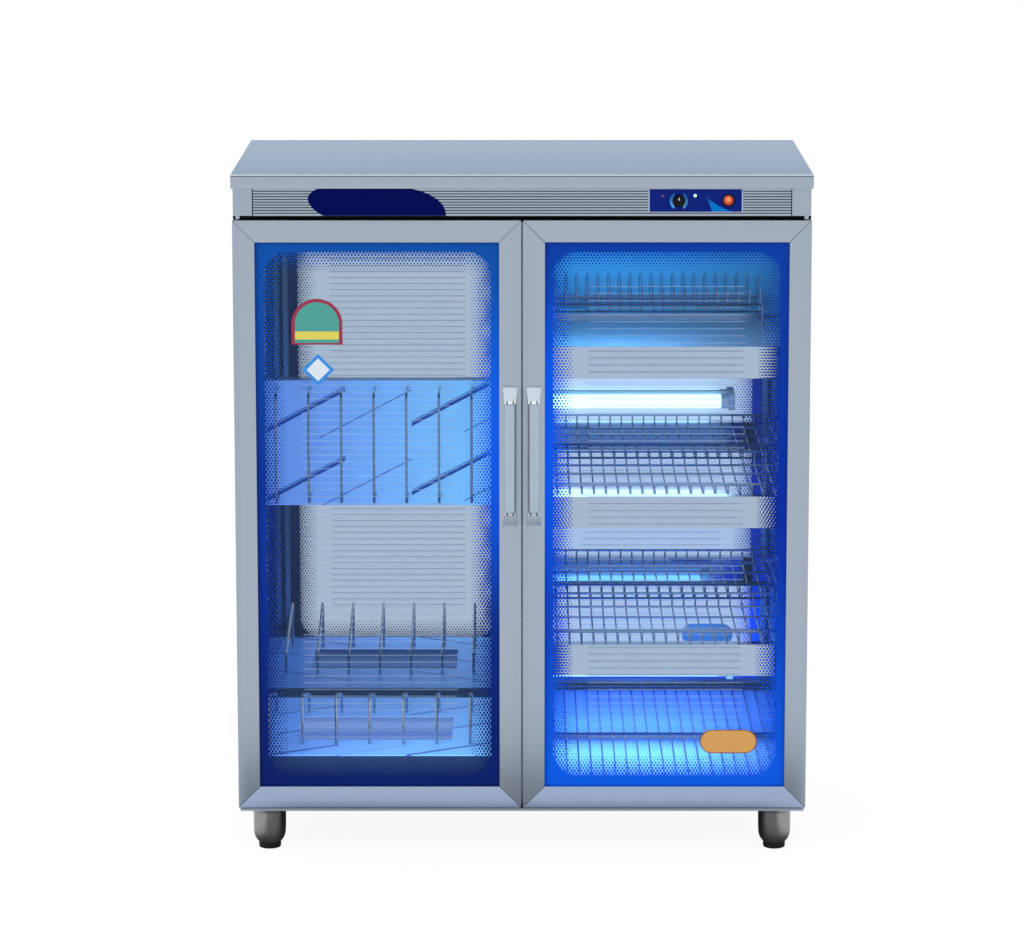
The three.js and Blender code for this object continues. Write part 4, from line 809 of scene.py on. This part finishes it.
def arch_label():
    """Plain arched label: red border, green field and a plain yellow strip."""
    graph, x, z, drift = label_material("arch_label")
    left, right, base, top = ARCH
    radius = (right - left) / 2
    from_x = graph.minus(x, (left + right) / 2)
    above = graph.most(graph.minus(z, top - radius), 0.0)
    rim = graph.over(graph.length(from_x, above), radius - 6 * MM)
    border = graph.most(rim, graph.under(z, base + 3 * MM))
    strip = graph.near(z, base + 16 * MM, 7 * MM)
    field = graph.mix(drift, LABEL_GREEN, tinted(LABEL_GREEN, 1.2))
    field = graph.mix(strip, field, LABEL_YELLOW)
    graph.paint(graph.mix(border, field, LABEL_RED))
    return graph.material


def diamond_label():
    """Plain white diamond with a blue border."""
    graph, x, z, drift = label_material("diamond_label")
    centre_x, centre_z, half = DIAMOND
    away = graph.plus(graph.distance(x, centre_x), graph.distance(z, centre_z))
    border = graph.over(away, half - 8 * MM)
    graph.paint(graph.mix(border, graph.mix(drift, *LABEL_WHITE), LABEL_BLUE))
    return graph.material


def pill_label():
    """Plain orange label with round ends and a thin brown rim."""
    graph, x, z, drift = label_material("pill_label")
    centre_x, centre_z, half_x, half_z = PILL
    past = graph.most(graph.minus(graph.distance(x, centre_x), half_x - half_z), 0.0)
    border = graph.over(graph.length(past, graph.minus(z, centre_z)), half_z - 2 * MM)
    field = graph.mix(drift, LABEL_ORANGE, tinted(LABEL_ORANGE, 1.12))
    graph.paint(graph.mix(border, field, LABEL_BROWN))
    return graph.material


finishes = {
    "steel": brushed("brushed_steel_level", LEVEL_GRAIN),
    "steel_low": brushed("brushed_steel_low", LEVEL_GRAIN, STEEL_BLUE_LIT),
    "steel_upright": brushed("brushed_steel_upright", UPRIGHT_GRAIN),
    "worktop": worktop_steel(),
    "mirror": mirror_steel("polished_liner").material,
    "mirror_left": left_lining(),
    "mirror_lit": lit_lining(),
    "shield_lit": lit_shield(),
    "shelf": shelf_steel(),
    "film": film_stripes(),
    # Wires: a painted dark blue reflection in their colour
    "wire": plain("bright_wire", WIRE_PAINTED_REFLECTION, metallic=1.0, roughness=(0.14, 0.22)),
    "rod": plain("rack_rod", ROD_STEEL, metallic=1.0, roughness=(0.18, 0.28)),
    "chrome": plain("bright_chrome", CHROME, metallic=1.0, roughness=(0.08, 0.16)),
    "gasket": plain("soft_gasket", GASKET, roughness=(0.6, 0.8), bump=0.2, specular=0.1),
    "plate": control_print(),
    "black": plain("black_plastic", BLACK, specular=0.1),
    "pointer": plain("pointer_paint", WHITE, roughness=(0.3, 0.5)),
    "red": switch_lens(),
    "green": indicator_lenses(),
    "lamp": tube("glowing_tube", TUBE_GLOW),
    "lamp_off": tube("unlit_tube", 0),
    "white": plain("white_powder_coat", FIXTURE, roughness=(0.35, 0.5), scale=900.0, bump=0.1),
    "leg": plain("satin_leg", LEG, metallic=1.0, roughness=(0.16, 0.26), scale=14.0),
    "rubber": plain("black_rubber", RUBBER, roughness=(0.6, 0.8), scale=300.0, bump=0.15),
    "badge": plain("badge_enamel", BADGE, roughness=(0.2, 0.3), scale=12.0, specular=0.02),
    "fascia": grooved_fascia(),
    "frame": frame_steel(),
    "arch": arch_label(),
    "diamond": diamond_label(),
    "pill": pill_label(),
    "label_back": plain("label_back", LABEL_BACK, roughness=(0.5, 0.7)),
}
for side in ("left", "right"):
    finishes["handle_" + side] = handle_chrome(side)
    finishes["grip_" + side] = grip_strip(side)
    finishes["glass_" + side] = printed_glass(side)

OWN_FINISH = {
    "worktop": "worktop",
    "control_fascia": "fascia",
    "front_frame": "frame",
    "left_liner": "mirror_left",
    "right_liner": "mirror_lit",
    "lamp_shield_upper": "shield_lit",
    "upper_shelf": "shelf",
    "uv_lamp_left": "lamp_off",
    # The bottom rails take the bluer copy of the steel, painted light
    "left_door_bottom_rail": "steel_low",
    "right_door_bottom_rail": "steel_low",
    "knife_rack": "rod",
    "board_rack": "rod",
}
SIDE_FINISH = {"glass": "glass_", "grip": "grip_", "chrome": "handle_"}


def finish_of(node):
    """The finish of a CAD node: its own, its side's, or its slot's."""
    slot = slot_of[node]
    if node in OWN_FINISH:
        return OWN_FINISH[node]
    if slot in SIDE_FINISH:
        return SIDE_FINISH[slot] + node.split("_")[0]
    return "steel_upright" if "panel" in node or "stile" in node else slot


def coat(piece, finish):
    piece.data.materials.clear()
    piece.data.materials.append(finishes[finish])


for node, piece in frame["nodes"].items():
    coat(piece, finish_of(node))


def in_scene(name, data):
    made = bpy.data.objects.new(name, data)
    bpy.context.scene.collection.objects.link(made)
    return made


def added(name, mesh, finish, body):
    """A new piece of the scene that rides on a body."""
    piece = in_scene(name, mesh)
    coat(piece, finish)
    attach(piece, body)
    return piece


def finished_mesh(name, work):
    mesh = bpy.data.meshes.new(name)
    work.to_mesh(mesh)
    work.free()
    mesh.shade_smooth()
    mesh.set_sharp_from_angle(angle=SHARP_ANGLE)
    return mesh


def stand_in(node, ending, work):
    """A new piece that stands for a CAD node, rides on its body and has its finish."""
    name = node + ending
    piece = added(name, finished_mesh(name, work), finish_of(node), body_of[node])
    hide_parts(node)


def eased(node, width):
    """A copy of a CAD node with its edges rounded, which stands for it."""
    work = bmesh.new()
    work.from_mesh(frame["nodes"][node].data)
    bmesh.ops.remove_doubles(work, verts=work.verts, dist=0.01 * MM)
    bmesh.ops.dissolve_limit(work, angle_limit=FLAT_ANGLE, verts=work.verts, edges=work.edges)
    sharp = [e for e in work.edges if e.is_manifold and e.calc_face_angle() > EDGE_ANGLE]
    shape = {"offset": width, "segments": 2, "profile": 0.5, "affect": "EDGES", "clamp_overlap": True}
    bmesh.ops.bevel(work, geom=sharp, **shape)
    stand_in(node, "_eased", work)


def arced(points, radius):
    """The points of a bent wire, with each inner corner turned into an arc."""
    points = [Vector(p) for p in points]
    path = [points[0]]
    for before, at, after in zip(points, points[1:], points[2:]):
        arriving, leaving = (before - at).normalized(), (after - at).normalized()
        near, far = at + arriving * radius, at + leaving * radius
        for i in range(BEND_STEPS + 1):
            t = i / BEND_STEPS
            path.append(near * (1 - t) ** 2 + at * (2 * t * (1 - t)) + far * t**2)
    return path + [points[-1]]


def straight(start, end, radius):
    """A straight wire, as its points, its radius and whether it is closed."""
    return [start, end], radius, False


def bent(points, radius, corner):
    return arced(points, corner), radius, False


def ring(x0, x1, y0, y1, z, radius, corner):
    """A closed loop of rod at one height with rounded corners."""
    corners = [(x0, y0, z), (x1, y0, z), (x1, y1, z), (x0, y1, z)]
    return arced([corners[-1], *corners, corners[0]], corner)[1:-1], radius, True


def wire_mesh(points, radius, closed):
    """A round wire along its points, as a mesh."""
    curve = bpy.data.curves.new("wire", "CURVE")
    curve.dimensions = "3D"
    curve.bevel_depth = radius
    curve.bevel_resolution = (WIRE_SIDES - 4) // 2
    curve.use_fill_caps = True
    spline = curve.splines.new("POLY")
    spline.points.add(len(points) - 1)
    for place, point in zip(spline.points, points):
        place.co = (*point, 1)
    spline.use_cyclic_u = closed
    holder = in_scene("wire", curve)
    bpy.context.view_layer.update()
    made = holder.evaluated_get(bpy.context.evaluated_depsgraph_get())
    mesh = bpy.data.meshes.new_from_object(made)
    bpy.data.objects.remove(holder)
    bpy.data.curves.remove(curve)
    return mesh


def wires(node, paths):
    """Round wires along their paths, made into one piece that stands for a CAD node."""
    work = bmesh.new()
    for path in paths:
        mesh = wire_mesh(*path)
        work.from_mesh(mesh)
        bpy.data.meshes.remove(mesh)
    stand_in(node, "_round", work)


def basket(level):
    """Wire basket: a fence of two loops with uprights, and a mat of wires under two cross rods."""
    fence, mat = "wire_basket_fence_" + level, "wire_basket_mat_" + level
    low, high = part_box(fence)
    x0, x1 = low.x + RIM, high.x - RIM
    y0, y1 = low.y + RIM, high.y - RIM
    z0, z1 = low.z + RIM, high.z - RIM
    inner = RIM + CLEAR
    columns = spread(x0 + inner + WIRE, x1 - inner - WIRE, BASKET_WIRES)
    rows = spread(y0, y1, BASKET_STAYS + 2)[1:-1]
    loops = [ring(x0, x1, y0, y1, z, RIM, BASKET_CORNER) for z in (z0, z1)]
    posts = [straight((x, y, z0), (x, y, z1), WIRE) for x in columns for y in (y0, y1)]
    stays = [straight((x, y, z0), (x, y, z1), WIRE) for x in (x0, x1) for y in rows]
    wires(fence, loops + posts + stays)
    cross_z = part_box(mat)[1].z - RIM
    wire_z = cross_z - WELDED
    third = (y1 - y0) / 3
    lines = [straight((x, y0 + inner, wire_z), (x, y1 - inner, wire_z), WIRE) for x in columns]
    crosses = [straight((x0, y, cross_z), (x1, y, cross_z), RIM) for y in (y0 + third, y1 - third)]
    wires(mat, lines + crosses)


def floor_rack():
    """Level wires on two cross rods that stand on four short feet."""
    low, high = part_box("floor_rack")
    x0, x1 = low.x + WIRE, high.x - WIRE
    wire_z = high.z - WIRE
    cross_z = wire_z - WELDED
    columns = spread(x0, x1, BASKET_WIRES)
    rows = (low.y + 2 * RIM, high.y - 2 * RIM)
    ends = (x0 + 2 * RIM, x1 - 2 * RIM)
    lines = [straight((x, low.y, wire_z), (x, high.y, wire_z), WIRE) for x in columns]
    crosses = [straight((x0, y, cross_z), (x1, y, cross_z), RIM) for y in rows]
    feet = [straight((x, y, low.z), (x, y, cross_z), RIM) for y in rows for x in ends]
    wires("floor_rack", lines + crosses + feet)


def cup_rack(rails):
    """Cup rack: two loops at the rails' heights on four legs, with a row of pegs."""
    low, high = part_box("cup_rack")
    x0, x1 = low.x + RIM, high.x - RIM
    y0, y1 = low.y + RIM, high.y - RIM
    clear = WIRE + CLEAR + RIM
    peg_y = y0 + WELDED
    columns = spread(x0 + clear, x1 - clear, CUP_PRONGS)
    pegs = [straight((x, peg_y, rails[1]), (x, peg_y, high.z), WIRE) for x in columns]
    loops = [ring(x0, x1, y0, y1, z, RIM, CUP_CORNER) for z in rails]
    legs = [straight((x, y, low.z), (x, y, rails[0]), RIM) for x in (x0, x1) for y in (y0, y1)]
    wires("cup_rack", pegs + loops + legs)


def cup_prongs(rails):
    """Prong bar behind the cup rack: narrow pointed loops on two rods."""
    low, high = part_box("cup_prongs")
    rods_y = low.y + RIM
    prong_y = rods_y + WELDED
    foot = low.z + RIM
    shoulder = high.z - PRONG_POINT
    paths = []
    for x in spread(low.x + WIRE, high.x - WIRE, CUP_PRONGS):
        left, right = x - PRONG_HALF, x + PRONG_HALF
        path = [(left, prong_y, foot), (left, prong_y, shoulder), (x, prong_y, high.z - PRONG_WIRE)]
        path += [(right, prong_y, shoulder), (right, prong_y, foot)]
        paths.append((path, PRONG_WIRE, False))
    rods = [straight((low.x, rods_y, z), (high.x, rods_y, z), RIM) for z in rails]
    wires("cup_prongs", paths + rods)


def knife_rack():
    """Rods that reach out of the plate, down and back into it, joined behind it."""
    low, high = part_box("knife_rack")
    back, reach = high.y - ROD, low.y + ROD
    top, bottom = high.z - ROD, low.z + ROD
    paths = []
    for x in spread(low.x + 2 * ROD, high.x - 2 * ROD, HOOPS):
        path = [(x, back, top), (x, reach, top), (x, reach, bottom), (x, back, bottom)]
        paths.append(bent(path, ROD, KNIFE_ROD_CORNER))
    rods = [straight((low.x, back, z), (high.x, back, z), ROD) for z in (top, bottom)]
    wires("knife_rack", paths + rods)


def board_rack():
    """Hoops that are high at the front and low at the rear, joined under the tray."""
    low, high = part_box("board_rack")
    tray_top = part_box("board_tray")[1].z
    front, back = low.y + ROD, high.y - ROD
    base = low.z + ROD
    tall, short = (tray_top + height for height in HOOP_HEIGHTS)
    paths = []
    for x in spread(low.x + 2 * ROD, high.x - 2 * ROD, HOOPS):
        path = [(x, front, base), (x, front, tall), (x, back, short), (x, back, base)]
        paths.append(bent(path, ROD, HOOP_CORNER))
    rods = [straight((low.x, y, base), (high.x, y, base), ROD) for y in (front, back)]
    wires("board_rack", paths + rods)


def racks():
    for level in ("upper", "lower"):
        basket(level)
    floor_rack()
    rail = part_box("cup_rack")[0].z + CUP_LEG
    rails = (rail, rail - CUP_RAIL_DROP)
    cup_rack(rails)
    cup_prongs(rails)
    knife_rack()
    board_rack()


racks()


def turned(node, profile):
    """A turned shape that stands for a CAD node: the profile's points are (radius, height)."""
    work = bmesh.new()
    x, y, z = middle_of(node)
    turns = [2 * math.pi * i / LATHE_SIDES for i in range(LATHE_SIDES)]
    rings = []
    for radius, height in profile:
        angles = turns if radius else [0]
        points = [(x + radius * math.cos(t), y + radius * math.sin(t), height) for t in angles]
        rings.append([work.verts.new(point) for point in points])
    for first, second in zip(rings, rings[1:]):
        for i in range(LATHE_SIDES):
            j = (i + 1) % LATHE_SIDES
            if len(first) == 1:
                work.faces.new((first[0], second[j], second[i]))
            elif len(second) == 1:
                work.faces.new((first[i], first[j], second[0]))
            else:
                work.faces.new((first[i], first[j], second[j], second[i]))
    bmesh.ops.recalc_face_normals(work, faces=work.faces)
    stand_in(node, "_turned", work)


def bullet_leg(node):
    """Bullet leg with a groove under its collar ring."""
    low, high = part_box(node)
    radius = (high.x - low.x) / 2
    collar = high.z - COLLAR_DROP
    rise = collar - low.z
    groove = radius * LEG_GROOVE
    profile = [(0, low.z)] + [(radius * r, low.z + rise * h) for r, h in LEG_SHAPE]
    neck = radius * LEG_NECK
    profile += [(neck, collar - 2 * MM), (groove, collar - 1.4 * MM), (groove, collar - 0.4 * MM)]
    profile += [(radius - 0.6 * MM, collar), (radius, collar + 1 * MM), (radius, collar + 3 * MM)]
    profile += [(radius - 1 * MM, collar + 4 * MM), (radius - 0.6 * MM, high.z), (0, high.z)]
    turned(node, profile)


def levelling_foot(node):
    """A rubber disc with soft edges and a stem that goes up into the leg."""
    low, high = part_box(node)
    wide = (high.x - low.x) / 2
    thick = FOOT_THICKNESS
    profile = [(0, 0), (wide - 2.4 * MM, 0), (wide - 0.7 * MM, 0.7 * MM), (wide, 2.4 * MM)]
    profile += [(wide, thick - 1 * MM), (wide - 1 * MM, thick), (FOOT_STEM, thick)]
    profile += [(FOOT_STEM, high.z), (0, high.z)]
    turned(node, profile)


for end in ("front", "rear"):
    for side in ("left", "right"):
        bullet_leg(f"leg_{end}_{side}")
        levelling_foot(f"foot_{end}_{side}")

for node in ("worktop", "side_panel_left", "side_panel_right"):
    eased(node, SHEET_EASE)
for side in ("left", "right"):
    for member in ("hinge_stile", "latch_stile", "top_rail", "bottom_rail"):
        eased(f"{side}_door_{member}", MEMBER_EASE)
    eased(f"{side}_door_handle_bracket", BRACKET_EASE)
    eased(f"{side}_door_handle_grip", GRIP_EASE)


def plate_piece(name, outline, front, thickness, finish, body):
    """A flat plate with an outline in X and Z, its front at y = front."""
    work = bmesh.new()
    fore = [work.verts.new((x, front, z)) for x, z in outline]
    aft = [work.verts.new((x, front + thickness, z)) for x, z in outline]
    work.faces.new(fore)
    work.faces.new(list(reversed(aft)))
    for i in range(len(outline)):
        j = (i + 1) % len(outline)
        work.faces.new((fore[j], fore[i], aft[i], aft[j]))
    bmesh.ops.recalc_face_normals(work, faces=work.faces)
    piece = added(name, finished_mesh(name, work), finish, body)
    piece.data.materials.append(finishes["label_back"])
    piece.data.polygons[1].material_index = 1
    return piece


def badge():
    """The bare nameplate on the fascia: a round left end and a long falling curve on the right."""
    low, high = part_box("control_fascia")
    base = low.z + BADGE_MARGIN
    tall = high.z - BADGE_MARGIN - base
    outline = [(x, base + tall * share) for x, share in BADGE_SHAPE]
    front = low.y - 1.3 * MM
    plate_piece("badge_plate", outline, front, BADGE_THICKNESS, "badge", "cabinet")


def arch_outline():
    left, right, base, top = ARCH
    middle, radius = (left + right) / 2, (right - left) / 2
    turns = spread(0, math.pi, 25)
    crown = [(middle + radius * math.cos(t), top - radius + radius * math.sin(t)) for t in turns]
    return [(left, base), (right, base)] + crown


def diamond_outline():
    x, z, half = DIAMOND
    return [(x - half, z), (x, z - half), (x + half, z), (x, z + half)]


def pill_outline():
    x, z, half_x, half_z = PILL
    outline = []
    for side in (1, -1):
        centre = x + side * (half_x - half_z)
        turns = spread(-math.pi / 2, math.pi / 2, 17)
        outline += [(centre + side * half_z * math.cos(t), z + side * half_z * math.sin(t)) for t in turns]
    return outline


def labels():
    """Plain labels outside the panes. The mirrors don't show the left door's two, as in the photograph."""
    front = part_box("left_door_glass")[0].y - LABEL_THICKNESS
    outlines = {"arch": arch_outline(), "diamond": diamond_outline(), "pill": pill_outline()}
    for finish, outline in outlines.items():
        on_right = finish == "pill"
        body = "right_door" if on_right else "left_door"
        piece = plate_piece("label_" + finish, outline, front, LABEL_THICKNESS, finish, body)
        piece.visible_glossy = on_right


def knob_pointer():
    low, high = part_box("timer_knob")
    middle = (low + high) / 2
    left, right = middle.x - 0.8 * MM, middle.x + 0.8 * MM
    base, top = middle.z + 2.5 * MM, middle.z + 7 * MM
    outline = [(left, base), (right, base), (right, top), (left, top)]
    plate_piece("knob_pointer", outline, low.y - 0.2 * MM, 0.3 * MM, "pointer", "timer_knob")


badge()
labels()
knob_pointer()


def set_camera():
    data = bpy.data.cameras.new("camera")
    data.lens = CAMERA_LENS
    data.sensor_width = CAMERA_SENSOR
    data.shift_x, data.shift_y = CAMERA_SHIFT
    camera = in_scene("camera", data)
    camera.location = CAMERA_PLACE
    camera.rotation_euler = (math.pi / 2 - CAMERA_PITCH, 0, 0)
    bpy.context.scene.camera = camera
    bpy.context.scene.view_settings.view_transform = "Standard"


def background_ray(graph):
    """1 for rays that should see the white studio: from the camera, from gloss and through glass."""
    path = graph.node("ShaderNodeLightPath").outputs
    seen = graph.most(path["Is Camera Ray"], path["Is Glossy Ray"])
    return graph.most(seen, path["Is Transmission Ray"])


def studio_world():
    world = bpy.data.worlds.new("studio")
    world.use_nodes = True
    bpy.context.scene.world = world
    graph = Graph(world.node_tree)
    colour = graph.mix(background_ray(graph), STUDIO_COLOUR, WHITE_LIGHT)
    graph.feed(world.node_tree.nodes["Background"].inputs["Color"], colour)


def floor_glow(graph):
    """How bright the floor looks: full from the camera, dimmer round the cabinet where gloss sees it."""
    x, y, z = graph.place()
    beside = graph.smooth(graph.size(x), *BESIDE_CABINET)
    before = graph.smooth(y, *BEFORE_CABINET)
    behind = graph.smooth(y, *BEHIND_CABINET)
    far = graph.most(beside, graph.most(before, behind))
    near = graph.scaled(graph.smooth(y, *UNDER_FRONT), GLOSS_AHEAD - GLOSS_UNDER, GLOSS_UNDER)
    in_gloss = graph.scaled(far, graph.minus(FLOOR_GLOW, near), near)
    gloss_ray = graph.node("ShaderNodeLightPath").outputs["Is Glossy Ray"]
    return graph.scaled(gloss_ray, graph.minus(in_gloss, FLOOR_GLOW), FLOOR_GLOW)


def studio_floor():
    mesh = bpy.data.meshes.new("floor")
    half = FLOOR_SIZE / 2
    corners = [(-half, -half, 0), (half, -half, 0), (half, half, 0), (-half, half, 0)]
    mesh.from_pydata(corners, [], [(0, 1, 2, 3)])
    floor = in_scene("floor", mesh)
    graph = new_material("pale_floor", roughness=1.0, specular=0.0)
    graph.paint(graph.mix(background_ray(graph), FLOOR_COLOUR, FLOOR_SHADE))
    graph.glow(WHITE_LIGHT, graph.times(background_ray(graph), floor_glow(graph)))
    mesh.materials.append(graph.material)


def soft_light(name, place, aim, size, power, colour):
    """An area light that neither the camera nor gloss sees."""
    data = bpy.data.lights.new(name, "AREA")
    data.shape = "RECTANGLE"
    data.size, data.size_y = size
    data.energy = power
    data.color = colour
    lamp = in_scene(name, data)
    lamp.location = place
    lamp.rotation_euler = (Vector(aim) - Vector(place)).to_track_quat("-Z", "Y").to_euler()
    lamp.visible_glossy = False
    lamp.visible_camera = False


def inside_lights():
    """Light of the lamps and of the room inside the two compartments, thrown back from the door side."""
    glass_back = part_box("left_door_glass")[1].y
    for side, light in (("left", LEFT_FILL), ("right", RIGHT_FILL)):
        middle = middle_of(side + "_liner")
        place = (middle.x, glass_back + 16 * MM, middle.z)
        soft_light("fill_" + side, place, (middle.x, 1, middle.z), *light)
    low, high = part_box("upper_shelf")
    x, z = low.x + 0.14, high.z + 0.12
    soft_light("fill_top", (x, glass_back + 30 * MM, z), (x, 1, z), *TOP_FILL)
    x, y = (low.x + high.x) / 2, -0.05
    place = (x, y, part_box("lamp_shield_lower")[0].z - 10 * MM)
    soft_light("fill_floor", place, (x, y, 0), *FLOOR_FILL)
    for name, light in (("right_upper", UPPER_TUBE_LIGHT), ("right_lower", LOWER_TUBE_LIGHT)):
        low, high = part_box("uv_lamp_" + name)
        x = (low.x + high.x) / 2
        place = (x, low.y - 25 * MM, low.z - 5 * MM)
        soft_light("glow_" + name, place, (x, low.y - 0.3, 0), *light)


set_camera()
studio_world()
studio_floor()
soft_light("key_softbox", KEY_PLACE, KEY_AIM, *KEY_LIGHT)
inside_lights()
